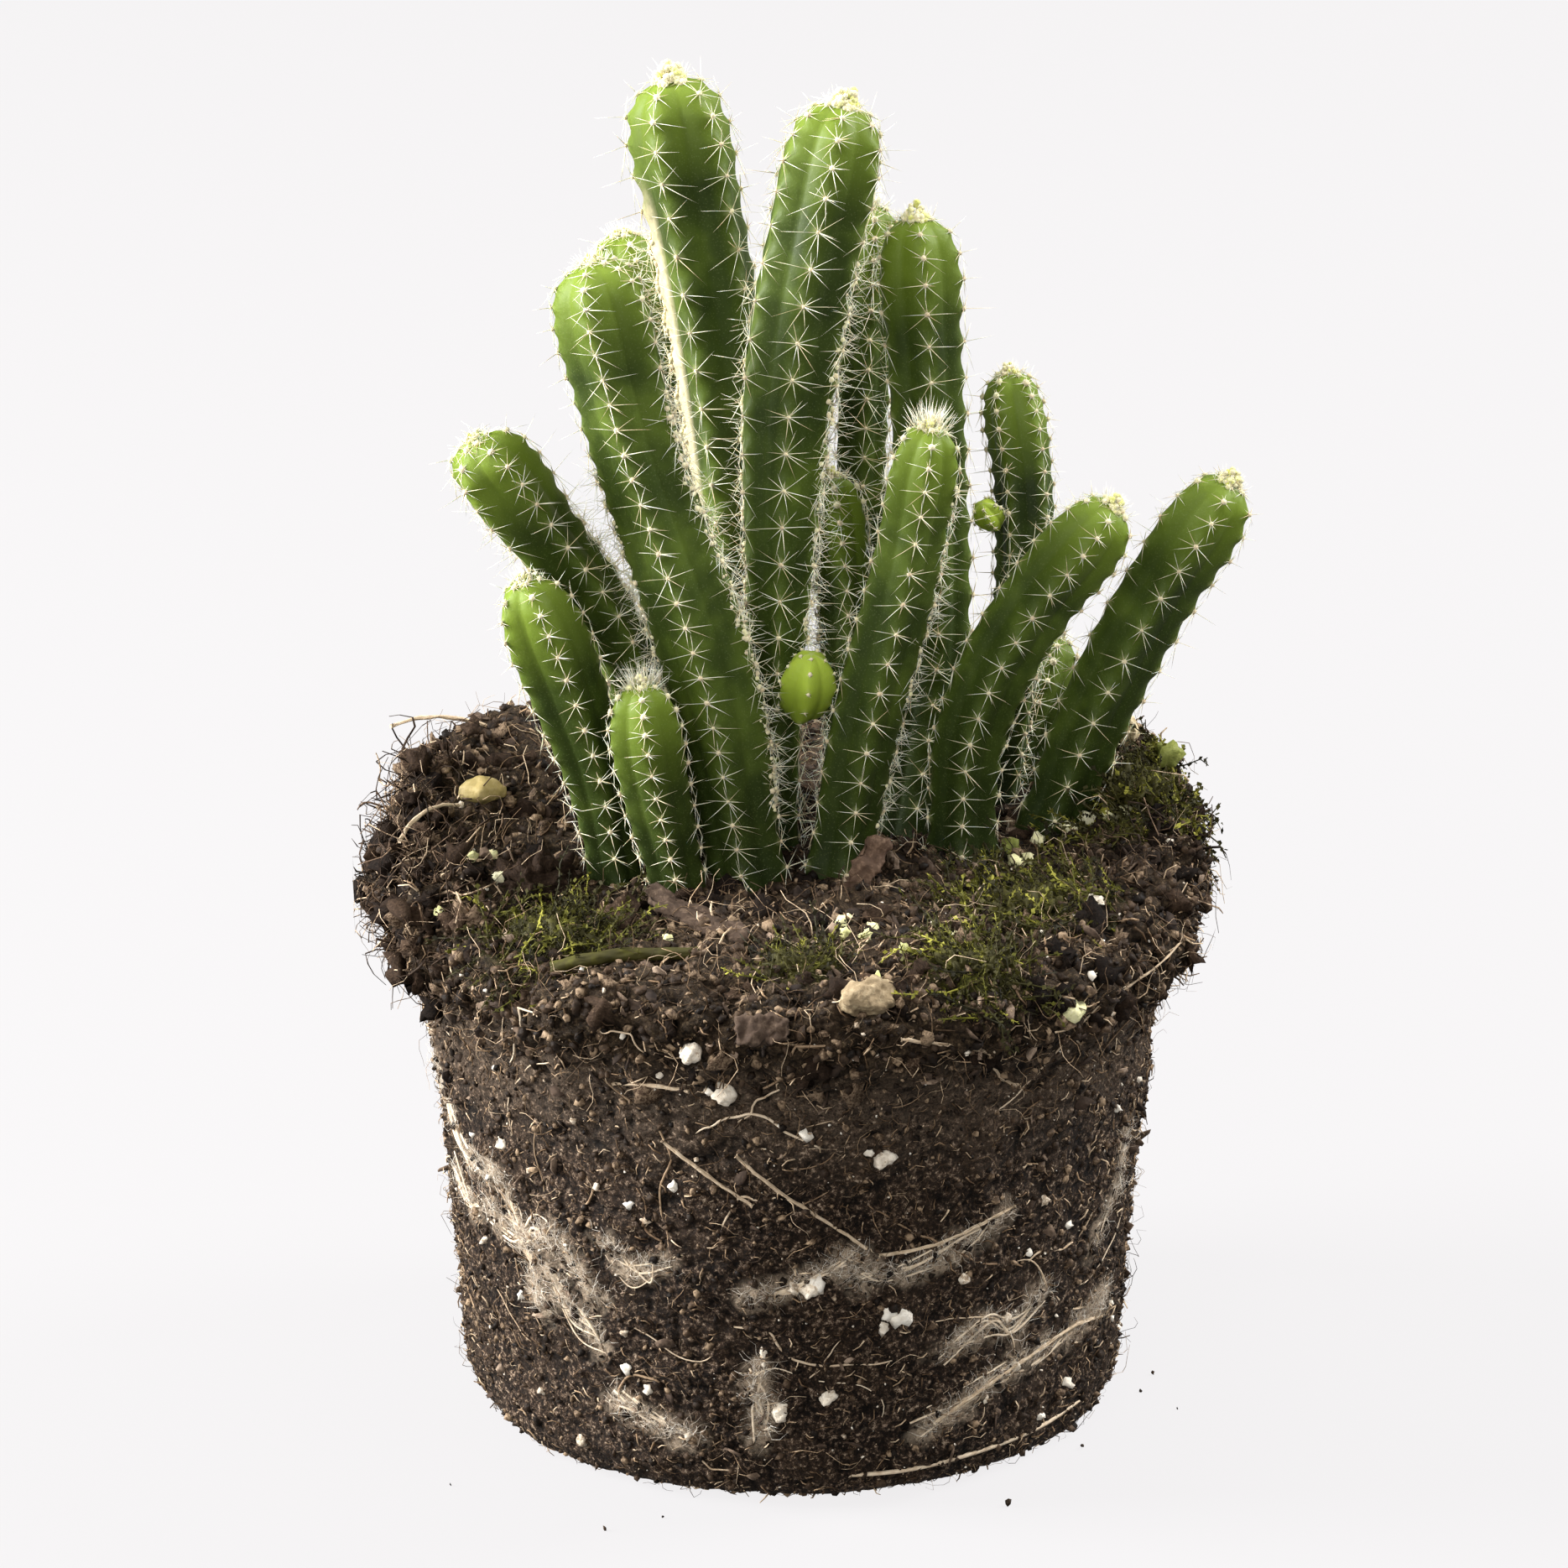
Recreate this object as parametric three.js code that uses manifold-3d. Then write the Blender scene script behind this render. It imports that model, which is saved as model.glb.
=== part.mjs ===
// A clump of ribbed column cacti standing in its own root ball, lifted out of the pot that shaped it.
// Millimetres, +Z up. The origin is the centre of the root ball's flat underside, and -Y is the front.
import * as THREE from 'three';
import { mergeVertices } from 'three/addons/utils/BufferGeometryUtils.js';
import Module from 'manifold-3d';

const wasm = await Module();
wasm.setup();

// ---------------------------------------------------------------- driving dimensions
const GAP = 0.4; // air between a piece and the soil it is bedded in

const FLAT_RADIUS = 43.4; // flat underside that the ball stands on
const HEEL = { radius: 46.6, z: 5 }; // top of the rounded bottom edge
const WALL_TOP = { radius: 51.5, z: 60 }; // end of the tapered wall, just under the collar
const COLLAR = { radius: 58.8, z: 75.5 }; // widest ring, which filled the rim of the pot
const SHOULDER = { radius: 51, z: 80 };
const CROWN_Z = 81.5; // soil level among the stems
const RIM_RISE = 9; // how much higher the rim stands at the sides and back than at the front
const RIM_ASIDE = [45, 100]; // degrees from the front between which the rim climbs
const RIM_OUTWARD = [34, 54]; // radii between which it climbs

const BALL_SEGMENTS = 48;
const WALL_LUMP = 0.5; // height of the low swellings on the wall
const COLLAR_LUMP = 1.1; // and on the looser collar and top
const TOP_LUMP_SHARE = 0.6; // how much of a swelling also lifts the top
const SWELLS = [
  // share of the height, swells in one turn of the ball, phase at z = 0, rise in mm for one radian of phase
  { share: 0.5, around: 3, start: -2.3, pitch: 30 },
  { share: 0.35, around: 7, start: 0, pitch: -11 },
  { share: 0.3, around: 13, start: 0, pitch: 6 },
];

const STEM_RING_PITCH = 12; // distance between two sections of a stem
const VALLEY = { 5: 0.76, 6: 0.8 }; // furrow depth of a stem with that many ribs, over its crest radius
const FOOT_TAPER = 0.04; // share of a stem's length that narrows to its buried point
const DOME_ANGLES = [30, 56, 78]; // sections of the rounded tip, in degrees
const DOME_HEIGHT = 0.95; // height of the tip's dome over the stem's radius there
const STEEP = 0.95; // a stem counts as lying towards the front when its run along Y is more than this

const LUMP_ROUGH = [0.84, 1.14]; // nearest and furthest corner of a lump, over its half size
const FINE_LUMP = 3; // lumps with a half width above this get a finer mesh
const FLAKE_NARROWING = 0.35; // how much of its width a chip of bark loses at each end
const FLAKE_SWAY = 0.12; // how far its middle line sways, over its width
const STRAND_SIDES = 6;
const STRAND_STEP = 4; // length of one straight piece of a root or a twig
const PERLITE_TURN = 40; // degrees that a grain is turned for each millimetre of its size

const degrees = THREE.MathUtils.degToRad;

// ---------------------------------------------------------------- finishes
const finish = (color, roughness) => new THREE.MeshStandardMaterial({ color, roughness, metalness: 0 });

const FINISHES = {
  soil: () => finish('#33281f', 0.97),
  stem_skin: () => finish('#3f6b2c', 0.5),
  bud_skin: () => finish('#8cab32', 0.48),
  perlite: () => finish('#e4dfd0', 0.9),
  pebble: () => finish('#958350', 0.75),
  bark: () => finish('#5f4c3a', 0.9),
  root: () => finish('#b99b72', 0.85),
  moss: () => finish('#6b7a2c', 0.95),
  dry_bud: () => finish('#d9c99a', 0.8),
};

// ---------------------------------------------------------------- root ball outline
const WALL_OUTLINE = [
  [FLAT_RADIUS, 0],
  [FLAT_RADIUS + 2, 1.2],
  [HEEL.radius, HEEL.z],
  [47.8, 22],
  [49.6, 41],
  [WALL_TOP.radius, WALL_TOP.z],
  [54.2, 66],
  [57.4, 71],
  [COLLAR.radius, COLLAR.z],
];
const TOP_OUTLINE = [
  [57, 78.6],
  [SHOULDER.radius, SHOULDER.z],
  [38, 80.4],
  [24, 81],
  [10, CROWN_Z],
];

// Height of the swelling at an angle from the front and a height z.
function swelling(angle, z) {
  const loose = THREE.MathUtils.smoothstep(z, WALL_TOP.z, COLLAR.z);
  const size = THREE.MathUtils.lerp(WALL_LUMP, COLLAR_LUMP, loose);
  const wave = ({ share, around, start, pitch }) => share * Math.sin(around * angle + start + z / pitch);
  return size * SWELLS.map(wave).reduce((sum, height) => sum + height);
}

// Height of the raised rim at a place on the top.
function rimRise(x, y) {
  const aside = THREE.MathUtils.smoothstep(Math.abs(Math.atan2(x, -y)), ...RIM_ASIDE.map(degrees));
  const outward = THREE.MathUtils.smoothstep(Math.hypot(x, y), ...RIM_OUTWARD);
  return RIM_RISE * aside * outward;
}

function interpolate(pairs, x, from, to) {
  const last = pairs.length - 1;
  for (let i = 0; i < last; i += 1) {
    const low = pairs[i];
    const high = pairs[i + 1];
    const share = (x - low[from]) / (high[from] - low[from]);
    if (share >= 0 && share <= 1) return THREE.MathUtils.lerp(low[to], high[to], share);
  }
  return pairs[last][to];
}

// A point on the wall: angle from the front towards +X, height z, and distance out of the soil.
function onWall(angleDegrees, z, out = 0) {
  const angle = degrees(angleDegrees);
  const radius = interpolate(WALL_OUTLINE, z, 1, 0) + swelling(angle, z) + out;
  return new THREE.Vector3(radius * Math.sin(angle), -radius * Math.cos(angle), z);
}

// A point on the soil's top, above x and y.
function onTop(x, y, up = 0) {
  const radius = Math.hypot(x, y);
  const angle = Math.atan2(x, -y);
  const z = interpolate([...TOP_OUTLINE].reverse(), radius, 0, 1);
  return new THREE.Vector3(x, y, z + TOP_LUMP_SHARE * swelling(angle, z) + rimRise(x, y) + up);
}

// Keeps only the positions of a geometry and joins its shared corners, which closes it.
function closed(geometry) {
  geometry.deleteAttribute('normal');
  geometry.deleteAttribute('uv');
  return mergeVertices(geometry, 1e-4);
}

function eachVertex(geometry, move) {
  const position = geometry.getAttribute('position');
  const point = new THREE.Vector3();
  for (let i = 0; i < position.count; i += 1) {
    point.fromBufferAttribute(position, i);
    move(point, i);
    position.setXYZ(i, point.x, point.y, point.z);
  }
  return geometry;
}

function rootBall() {
  const outline = [[0, 0], ...WALL_OUTLINE, ...TOP_OUTLINE, [0, CROWN_Z]];
  const profile = outline.map(([radius, z]) => new THREE.Vector2(radius, z));
  const ball = new THREE.LatheGeometry(profile, BALL_SEGMENTS);
  ball.rotateX(Math.PI / 2);
  eachVertex(ball, (point) => {
    const radius = Math.hypot(point.x, point.y);
    if (radius < 1 || point.z < 1) return;
    const angle = Math.atan2(point.x, -point.y);
    const swell = swelling(angle, point.z);
    const scale = 1 + (swell / radius) * Math.min(1, radius / SHOULDER.radius);
    point.x *= scale;
    point.y *= scale;
    if (point.z > COLLAR.z) point.z += TOP_LUMP_SHARE * swell + rimRise(point.x, point.y);
  });
  return closed(ball);
}

// ---------------------------------------------------------------- stems
// route: foot in the soil, two places on the way, tip. radii: crest radius at those four places.
// facing: where the first rib looks, in degrees from the front towards +X. twist: its turn by the tip.
const STEMS = [
  {
    name: 'stem_tall_left', ribs: 5, facing: -33, twist: 8,
    route: [[-3, 12, 72], [-6, 12, 114], [-10.5, 13, 152], [-17, 14, 189]],
    radii: [4.2, 6.2, 6.8, 7.2],
  },
  {
    name: 'stem_tall_centre', ribs: 6, facing: 4, twist: -6,
    route: [[-3, -1, 72], [-2, -1, 118], [0, 2, 152], [7, 5, 188]],
    radii: [3.3, 4.4, 7, 7],
  },
  {
    name: 'stem_head_left', ribs: 5, facing: -4, twist: -12,
    route: [[-5, -11, 72], [-11.5, -10, 112], [-21.3, -8, 143], [-27.5, -7, 169]],
    radii: [4.8, 6.9, 6.6, 7],
  },
  {
    name: 'stem_back_left', ribs: 5, facing: 20, twist: 0,
    route: [[-12, 20, 72], [-17, 21, 111], [-21, 22, 142], [-24, 23, 164]],
    radii: [3.8, 4.8, 5.2, 5.4],
  },
  {
    name: 'stem_right_tuft', ribs: 5, facing: 12, twist: -8,
    route: [[5, -8, 72], [10, -9, 103], [15, -10, 124], [19, -12, 147]],
    radii: [4.2, 5, 5.1, 4.4],
  },
  {
    name: 'stem_right_tall', ribs: 5, facing: 8, twist: 0,
    route: [[15, 7, 72], [19.5, 8, 108], [18.8, 10, 140], [17, 11, 170]],
    radii: [4, 5.3, 5.4, 5.7],
  },
  {
    name: 'stem_back_slim', ribs: 5, facing: 0, twist: 10,
    route: [[7, 19, 72], [9, 21, 112], [10, 24, 142], [11, 27, 167]],
    radii: [3, 3.5, 3.7, 3.9],
  },
  {
    name: 'stem_inner_short', ribs: 5, facing: 10, twist: 0,
    route: [[7.5, 9, 72], [7.6, 10, 100], [6.8, 11, 118], [5.2, 12, 132]],
    radii: [2.8, 3.5, 4, 3.9],
  },
  {
    name: 'stem_right_small', ribs: 5, facing: -30, twist: 0,
    route: [[28, 15, 72], [32, 18, 104], [33, 21, 124], [30.5, 25, 143]],
    radii: [2.8, 3.3, 4.4, 4.1],
  },
  {
    name: 'stem_right_bent', ribs: 5, facing: -2, twist: 0,
    route: [[24, 0, 72], [25, -2, 99], [32, -4, 116], [44.5, -6, 133.5]],
    radii: [4.4, 5.1, 5.6, 5.4],
  },
  {
    name: 'stem_right_far', ribs: 5, facing: -6, twist: 4,
    route: [[34, 8, 72], [42, 7, 97], [50, 5, 115], [61, 3, 134]],
    radii: [4.1, 5.2, 5.6, 5.4],
  },
  {
    name: 'stem_left_far', ribs: 5, facing: 30, twist: 0,
    route: [[-15, 0, 72], [-24, -2, 112], [-33, -6, 127], [-44, -11, 144.5]],
    radii: [3.6, 4.3, 4.9, 6.3],
  },
  {
    name: 'stem_left_low', ribs: 5, facing: 12, twist: 0,
    route: [[-24, -10, 72], [-27.5, -12, 96], [-32.5, -14, 113], [-37, -16, 126]],
    radii: [3, 4, 5.6, 5.3],
  },
  {
    name: 'stem_front_small', ribs: 5, facing: 2, twist: 0,
    route: [[-14, -14, 72], [-18, -16, 91], [-20, -18, 102], [-21, -19, 112]],
    radii: [2.5, 4.2, 5, 4.6],
  },
  {
    name: 'stem_back_right', ribs: 5, facing: 0, twist: 0,
    route: [[29, 24, 72], [33, 25, 88], [36, 27, 96], [38, 29, 102]],
    radii: [3.2, 3.8, 3.9, 3.8],
  },
];

// A ribbed column along a route: a lathe whose every second column of corners is drawn in to a furrow.
function column(stem, grow) {
  const { ribs, facing, twist } = stem;
  const foot = new THREE.Vector3(...stem.route[0]);
  const curve = new THREE.CatmullRomCurve3(stem.route.map((at) => new THREE.Vector3(...at).sub(foot)));
  const places = stem.radii.length - 1;
  const radii = new THREE.SplineCurve(stem.radii.map((radius, i) => new THREE.Vector2(i / places, radius)));
  const length = curve.getLength();
  const tipRadius = stem.radii[places];
  const domeStart = 1 - (DOME_HEIGHT * tipRadius) / length;
  const rings = Math.max(2, Math.round((domeStart * length) / STEM_RING_PITCH));

  const profile = [new THREE.Vector2(0, 0)];
  for (let i = 0; i <= rings; i += 1) {
    const along = THREE.MathUtils.lerp(FOOT_TAPER, domeStart, i / rings);
    profile.push(new THREE.Vector2(radii.getPoint(along).y, along));
  }
  for (const dome of DOME_ANGLES.map(degrees)) {
    const along = THREE.MathUtils.lerp(domeStart, 1, Math.sin(dome));
    profile.push(new THREE.Vector2(tipRadius * Math.cos(dome), along));
  }
  profile.push(new THREE.Vector2(0, 1));

  const turns = ribs * 2;
  const front = new THREE.Vector3();
  const side = new THREE.Vector3();
  const geometry = new THREE.LatheGeometry(profile, turns);
  eachVertex(geometry, (point) => {
    const along = THREE.MathUtils.clamp(point.y, 0, 1);
    const corner = Math.round((Math.atan2(point.x, point.z) / (2 * Math.PI)) * turns);
    const furrow = corner % 2 === 0 ? 1 : VALLEY[ribs];
    const crest = Math.hypot(point.x, point.z);
    const radius = crest > 0.01 ? crest * furrow + grow : 0;
    const angle = (corner / turns) * 2 * Math.PI + degrees(facing + twist * along);
    const tangent = curve.getTangentAt(along);
    const lies = Math.abs(tangent.y) > STEEP;
    front.set(0, lies ? 0 : -1, lies ? 1 : 0);
    front.addScaledVector(tangent, -front.dot(tangent)).normalize();
    side.crossVectors(front, tangent).negate();
    point.copy(curve.getPointAt(along));
    point.addScaledVector(front, radius * Math.cos(angle));
    point.addScaledVector(side, radius * Math.sin(angle));
    point.addScaledVector(tangent, along === 0 ? -2 * grow : 0);
  });
  return closed(geometry);
}

const BUDS = [
  {
    name: 'bud_front', ribs: 5, facing: 0, twist: 0,
    route: [[1, -5.9, 103.6], [1.7, -8.8, 106], [2.2, -11, 109.6], [2.6, -12.2, 114]],
    radii: [2, 3.5, 3.9, 3.5],
  },
  {
    name: 'bud_right_small', ribs: 5, facing: 0, twist: 0,
    route: [[28.9, 18.6, 122.4], [28.1, 17.7, 123.6], [27.3, 16.8, 125], [26.6, 16, 126.4]],
    radii: [1.2, 2, 2.2, 2],
  },
];

// ---------------------------------------------------------------- loose pieces bedded in the soil
// A repeatable number from 0 to 1 for a seed.
function chance(seed) {
  const wave = Math.sin(seed * 12.9898) * 43758.5453;
  return wave - Math.floor(wave);
}

// A rough lump: sizes are its half width, half depth and half height.
function lump(sizes, seed, grow, detail = 0) {
  const geometry = closed(new THREE.IcosahedronGeometry(1, detail));
  return eachVertex(geometry, (point, i) => {
    const rough = THREE.MathUtils.lerp(...LUMP_ROUGH, chance(seed + i));
    point.set(
      point.x * (sizes[0] * rough + grow),
      point.y * (sizes[1] * rough + grow),
      point.z * (sizes[2] * rough + grow),
    );
  });
}

// A thin curved chip of bark: a box whose ends narrow and curl up.
function flake(length, width, thickness, curl, grow) {
  const box = new THREE.BoxGeometry(length + 2 * grow, width + 2 * grow, thickness + 2 * grow, 6, 2, 1);
  return eachVertex(closed(box), (point) => {
    const along = (2 * point.x) / length;
    point.y *= 1 - FLAKE_NARROWING * along * along;
    point.y += FLAKE_SWAY * width * Math.sin(3 * along);
    point.z += curl * along * along;
  });
}

// A root or a twig: a thin six-sided rod along a smooth route.
function strand(route, radius, grow) {
  const points = route.map((point) => point.clone().sub(route[0]));
  const first = points[0].clone().sub(points[1]).setLength(2 * grow);
  const last = points.at(-1).clone().sub(points.at(-2)).setLength(2 * grow);
  if (grow > 0) {
    points.unshift(points[0].clone().add(first));
    points.push(points.at(-1).clone().add(last));
  }
  const curve = new THREE.CatmullRomCurve3(points);
  const section = new THREE.Shape();
  section.absarc(0, 0, radius + grow, 0, 2 * Math.PI, false);
  const steps = Math.max(3, Math.round(curve.getLength() / STRAND_STEP));
  const options = { steps, curveSegments: STRAND_SIDES, bevelEnabled: false, extrudePath: curve };
  return closed(new THREE.ExtrudeGeometry(section, options));
}

const lumpPiece = (name, slot, at, sizes, turn = 0) => ({
  name, slot, at, turn: [0, 0, degrees(turn)],
  shape: (grow) => lump(sizes, name.length + at.x, grow, sizes[0] > FINE_LUMP ? 1 : 0),
});

const flakePiece = (name, at, turn, [length, width, thickness], curl) => ({
  name, slot: 'bark', at, turn: turn.map(degrees),
  shape: (grow) => flake(length, width, thickness, curl, grow),
});

// stops: places that the strand passes, each as the arguments of the function place.
const strandPiece = (name, slot, radius, place, stops) => {
  const route = stops.map((stop) => place(...stop));
  return { name, slot, at: route[0], turn: [0, 0, 0], shape: (grow) => strand(route, radius, grow) };
};

const inTheAir = (x, y, z) => new THREE.Vector3(x, y, z);

const stemPiece = (stem, slot) => ({
  name: stem.name, slot, at: new THREE.Vector3(...stem.route[0]), turn: [0, 0, 0],
  shape: (grow) => column(stem, grow),
});

const PERLITE = [
  ['perlite_collar_left', onWall(-14, 72), 2.1],
  ['perlite_collar_front', onWall(-10, 65), 2.2],
  ['perlite_collar_right', onWall(40, 74), 2.9],
  ['perlite_top_front', onTop(7, -30), 1.7],
  ['perlite_top_middle', onTop(11, -33), 1.5],
  ['perlite_top_right', onTop(42, -24), 2],
  ['perlite_by_stem', onTop(33, -5), 1.7],
  ['perlite_wall_low_left', onWall(-2, 15), 1.9],
  ['perlite_wall_low_right', onWall(6, 17), 1.7],
  ['perlite_wall_high', onWall(14, 54), 1.9],
  ['perlite_wall_middle', onWall(3, 34), 1.8],
];

const perlitePiece = ([name, at, size]) => (
  lumpPiece(name, 'perlite', at, [size, size * 0.85, size * 0.8], size * PERLITE_TURN)
);

const PIECES = [
  ...STEMS.map((stem) => stemPiece(stem, 'stem_skin')),
  ...BUDS.map((bud) => stemPiece(bud, 'bud_skin')),
  ...PERLITE.map(perlitePiece),
  lumpPiece('pebble', 'pebble', onTop(-44, 8, 0.8), [3.6, 2.6, 2.1], 20),
  lumpPiece('peat_lump', 'soil', onTop(-35.5, -16, 0.8), [6, 5, 3.8], 30),
  lumpPiece('dried_bud', 'dry_bud', onTop(48, 22, 1.6), [1.9, 1.7, 2.9], 15),
  lumpPiece('tan_chunk', 'bark', onTop(10, -55, 0.6), [4.2, 3, 2.6], 30),
  lumpPiece('moss_cushion_right', 'moss', onTop(25, -46, 0.4), [5.6, 4.4, 2.6], 10),
  lumpPiece('moss_patch_left', 'moss', onTop(-33, -32, 0.1), [7.5, 4.4, 1.9], -35),
  lumpPiece('moss_patch_centre', 'moss', onTop(1, -45, 0.1), [5, 3.4, 1.7], 0),
  lumpPiece('moss_patch_middle', 'moss', onTop(33, -22, 0.1), [7, 4.6, 1.9], 40),
  lumpPiece('moss_patch_far', 'moss', onTop(49, 7, 0.1), [5, 6.4, 2], 10),
  flakePiece('bark_strip', onTop(-13, -30, 0.6), [6, 0, -48], [20, 4.6, 1.3], 1.1),
  flakePiece('bark_chip', onWall(-4, 76.5, 0.2), [62, 0, -4], [7, 4, 1.5], 0.3),
  flakePiece('curled_leaf', onTop(9.5, -19, 1.4), [70, 0, 60], [13, 3.8, 0.9], -1.3),
  strandPiece('twig_mossy', 'bark', 0.9, onTop, [
    [-33, -43, 0.6], [-27, -43, 1], [-21, -42, 1], [-13, -41, 0.6],
  ]),
  strandPiece('twig_right', 'bark', 0.6, onTop, [
    [18, -9, 1.2], [21, -17, 0.8], [25, -27, 0.8], [29, -38, 0.5],
  ]),
  strandPiece('root_far_left', 'root', 0.5, inTheAir, [
    [-57.5, 20, 91.5], [-53, 24, 91.5], [-48, 27.5, 90], [-44, 30, 88],
  ]),
  strandPiece('root_left', 'root', 0.5, onTop, [
    [-55, -11, 0.3], [-53, -7, 0.7], [-50, -3, 0.7], [-47, 1, 0.2],
  ]),
  strandPiece('root_collar_left', 'root', 0.6, onWall, [
    [-28, 64, 0.2], [-22, 65, 0.4], [-15, 65, 0.4],
  ]),
  strandPiece('root_collar_right', 'root', 0.6, onWall, [
    [14, 75, 0.2], [21, 73, 0.4], [28, 70, 0.4], [31, 65, 0.3], [36, 62, 0.2],
  ]),
  strandPiece('root_shoulder_right', 'root', 0.5, onWall, [
    [66, 76, 0.1], [58, 75, 0.3], [50, 73, 0.3], [47, 68, 0.1],
  ]),
  strandPiece('root_wall_left', 'root', 0.6, onWall, [
    [-21, 56, 0.2], [-16, 53, 0.4], [-11, 50, 0.4], [-6, 47, 0.2],
  ]),
  strandPiece('root_wall_middle', 'root', 0.6, onWall, [
    [-9, 55, 0.2], [-4, 51, 0.4], [2, 47, 0.4], [8, 43, 0.4], [12, 40, 0.3],
  ]),
  strandPiece('root_wall_right', 'root', 0.7, onWall, [
    [13.5, 39, 0.3], [19, 39, 0.4], [26, 40, 0.4], [33, 42, 0.4], [38, 43, 0.2],
  ]),
  strandPiece('root_wall_low', 'root', 0.8, onWall, [
    [24, 11, 0.2], [34, 15, 0.4], [45, 18, 0.4], [56, 19, 0.4], [66, 17, 0.2],
  ]),
];

// ---------------------------------------------------------------- assembly
function solid(geometry) {
  return new wasm.Manifold(new wasm.Mesh({
    numProp: 3,
    vertProperties: new Float32Array(geometry.getAttribute('position').array),
    triVerts: new Uint32Array(geometry.getIndex().array),
  }));
}

function surface(manifold) {
  const mesh = manifold.getMesh();
  const geometry = new THREE.BufferGeometry();
  geometry.setAttribute('position', new THREE.BufferAttribute(mesh.vertProperties, 3));
  geometry.setIndex(new THREE.BufferAttribute(mesh.triVerts, 1));
  return geometry;
}

const plant = new THREE.Group();
let soil = solid(rootBall());
for (const piece of PIECES) {
  const mesh = new THREE.Mesh(piece.shape(0), FINISHES[piece.slot]());
  mesh.name = piece.name;
  mesh.position.copy(piece.at);
  mesh.rotation.set(...piece.turn);
  mesh.updateMatrix();
  plant.add(mesh);
  soil = soil.subtract(solid(piece.shape(GAP).applyMatrix4(mesh.matrix)));
}

const ball = new THREE.Mesh(surface(soil), FINISHES.soil());
ball.name = 'root_ball';
plant.add(ball);

export default plant;
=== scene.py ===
# %% [markdown]
# # A clump of column cacti in its own root ball
# This lesson dresses a plain CAD model of a young cactus clump. The plant has been lifted out of its pot,
# so its soil keeps the pot's round, tapered form. The CAD model fixes where every stem, root and grain
# sits. Here each of them gets the surface that the real one has: scalloped ribs, spines, wool, crumbly
# peat, moss and root hair. The frame is loaded first, because every place and size below is read from it.

# %% Load the frame
import math
import bmesh
import bpy
import numpy as np
from mathutils import Matrix, Vector, noise
from mathutils.bvhtree import BVHTree


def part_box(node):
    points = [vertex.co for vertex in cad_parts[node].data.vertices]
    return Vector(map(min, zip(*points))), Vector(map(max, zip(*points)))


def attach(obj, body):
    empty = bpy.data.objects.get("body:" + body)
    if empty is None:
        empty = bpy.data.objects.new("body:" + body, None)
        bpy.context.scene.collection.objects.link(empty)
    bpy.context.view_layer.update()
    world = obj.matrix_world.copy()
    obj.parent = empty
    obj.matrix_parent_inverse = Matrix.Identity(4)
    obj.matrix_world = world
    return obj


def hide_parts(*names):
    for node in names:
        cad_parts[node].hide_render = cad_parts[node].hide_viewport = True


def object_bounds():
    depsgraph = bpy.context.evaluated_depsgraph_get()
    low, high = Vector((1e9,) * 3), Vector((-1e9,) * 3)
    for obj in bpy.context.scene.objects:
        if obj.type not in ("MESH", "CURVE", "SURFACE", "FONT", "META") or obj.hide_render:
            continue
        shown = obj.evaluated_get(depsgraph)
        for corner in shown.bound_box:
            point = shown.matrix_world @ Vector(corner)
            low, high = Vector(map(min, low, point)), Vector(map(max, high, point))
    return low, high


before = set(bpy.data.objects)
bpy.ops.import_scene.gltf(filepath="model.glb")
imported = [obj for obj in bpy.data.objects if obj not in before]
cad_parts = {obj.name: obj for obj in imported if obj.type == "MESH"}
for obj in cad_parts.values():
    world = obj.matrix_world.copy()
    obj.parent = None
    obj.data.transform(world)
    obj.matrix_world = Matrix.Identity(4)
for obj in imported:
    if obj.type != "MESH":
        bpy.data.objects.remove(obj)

MM = 0.001
noise.seed_set(7)        # without a seed of its own, Blender's noise starts from the clock on every run
cad_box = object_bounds()
cad_nodes = sorted(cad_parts)
print("CAD nodes:", len(cad_nodes), "height in mm:", round((cad_box[1].z - cad_box[0].z) / MM, 1))

# %% [markdown]
# ## The camera
# A long lens from a little over a metre away keeps the clump's lines nearly parallel, as in a catalogue
# picture. The camera looks along +Y and down by about twenty degrees, so that the mossy top of the soil
# shows.

# %% Camera
CAMERA_DOWN = math.radians(20.5)
CAMERA_DISTANCE = 1.2
CAMERA_LENS = 195.8
SENSOR_WIDTH = 36
LOOK_AT = Vector((-1.2, 0, 90.2)) * MM

camera_data = bpy.data.cameras.new("camera")
camera_data.lens = CAMERA_LENS
camera_data.sensor_width = SENSOR_WIDTH
camera = bpy.data.objects.new("camera", camera_data)
bpy.context.collection.objects.link(camera)
camera.location = LOOK_AT + CAMERA_DISTANCE * Vector((0, -math.cos(CAMERA_DOWN), math.sin(CAMERA_DOWN)))
camera.rotation_euler = (math.pi / 2 - CAMERA_DOWN, 0, 0)
bpy.context.scene.camera = camera
print("camera looks at", [round(c / MM, 1) for c in LOOK_AT])

# %% [markdown]
# ## Studio floor and light
# The pale rims of the stems come from two tall soft lights that stand a little behind the plant, one on
# each side. A broad dim light in front opens up the shadows. The floor is a plain pale sheet that rises
# behind the plant. It glows a little, so that it stays nearly white without flooding the soil with light
# from below.

# %% Lights
def soft_light(name, place, width, height, power):
    data = bpy.data.lights.new(name, "AREA")
    data.shape = "RECTANGLE"
    data.size = width
    data.size_y = height
    data.energy = power
    lamp = bpy.data.objects.new(name, data)
    bpy.context.collection.objects.link(lamp)
    lamp.location = place
    lamp.rotation_euler = (LOOK_AT - Vector(place)).to_track_quat("-Z", "Y").to_euler()
    return lamp

soft_light("light_left", (-1.0, 0.02, 0.5), 0.4, 0.9, 41)
soft_light("light_right", (0.98, 0.3, 0.86), 0.4, 0.9, 26)
soft_light("light_front", (-0.35, -1.25, 0.75), 0.9, 0.8, 12)
soft_light("light_top", (0.0, 0.1, 1.2), 0.7, 0.7, 5)

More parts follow.
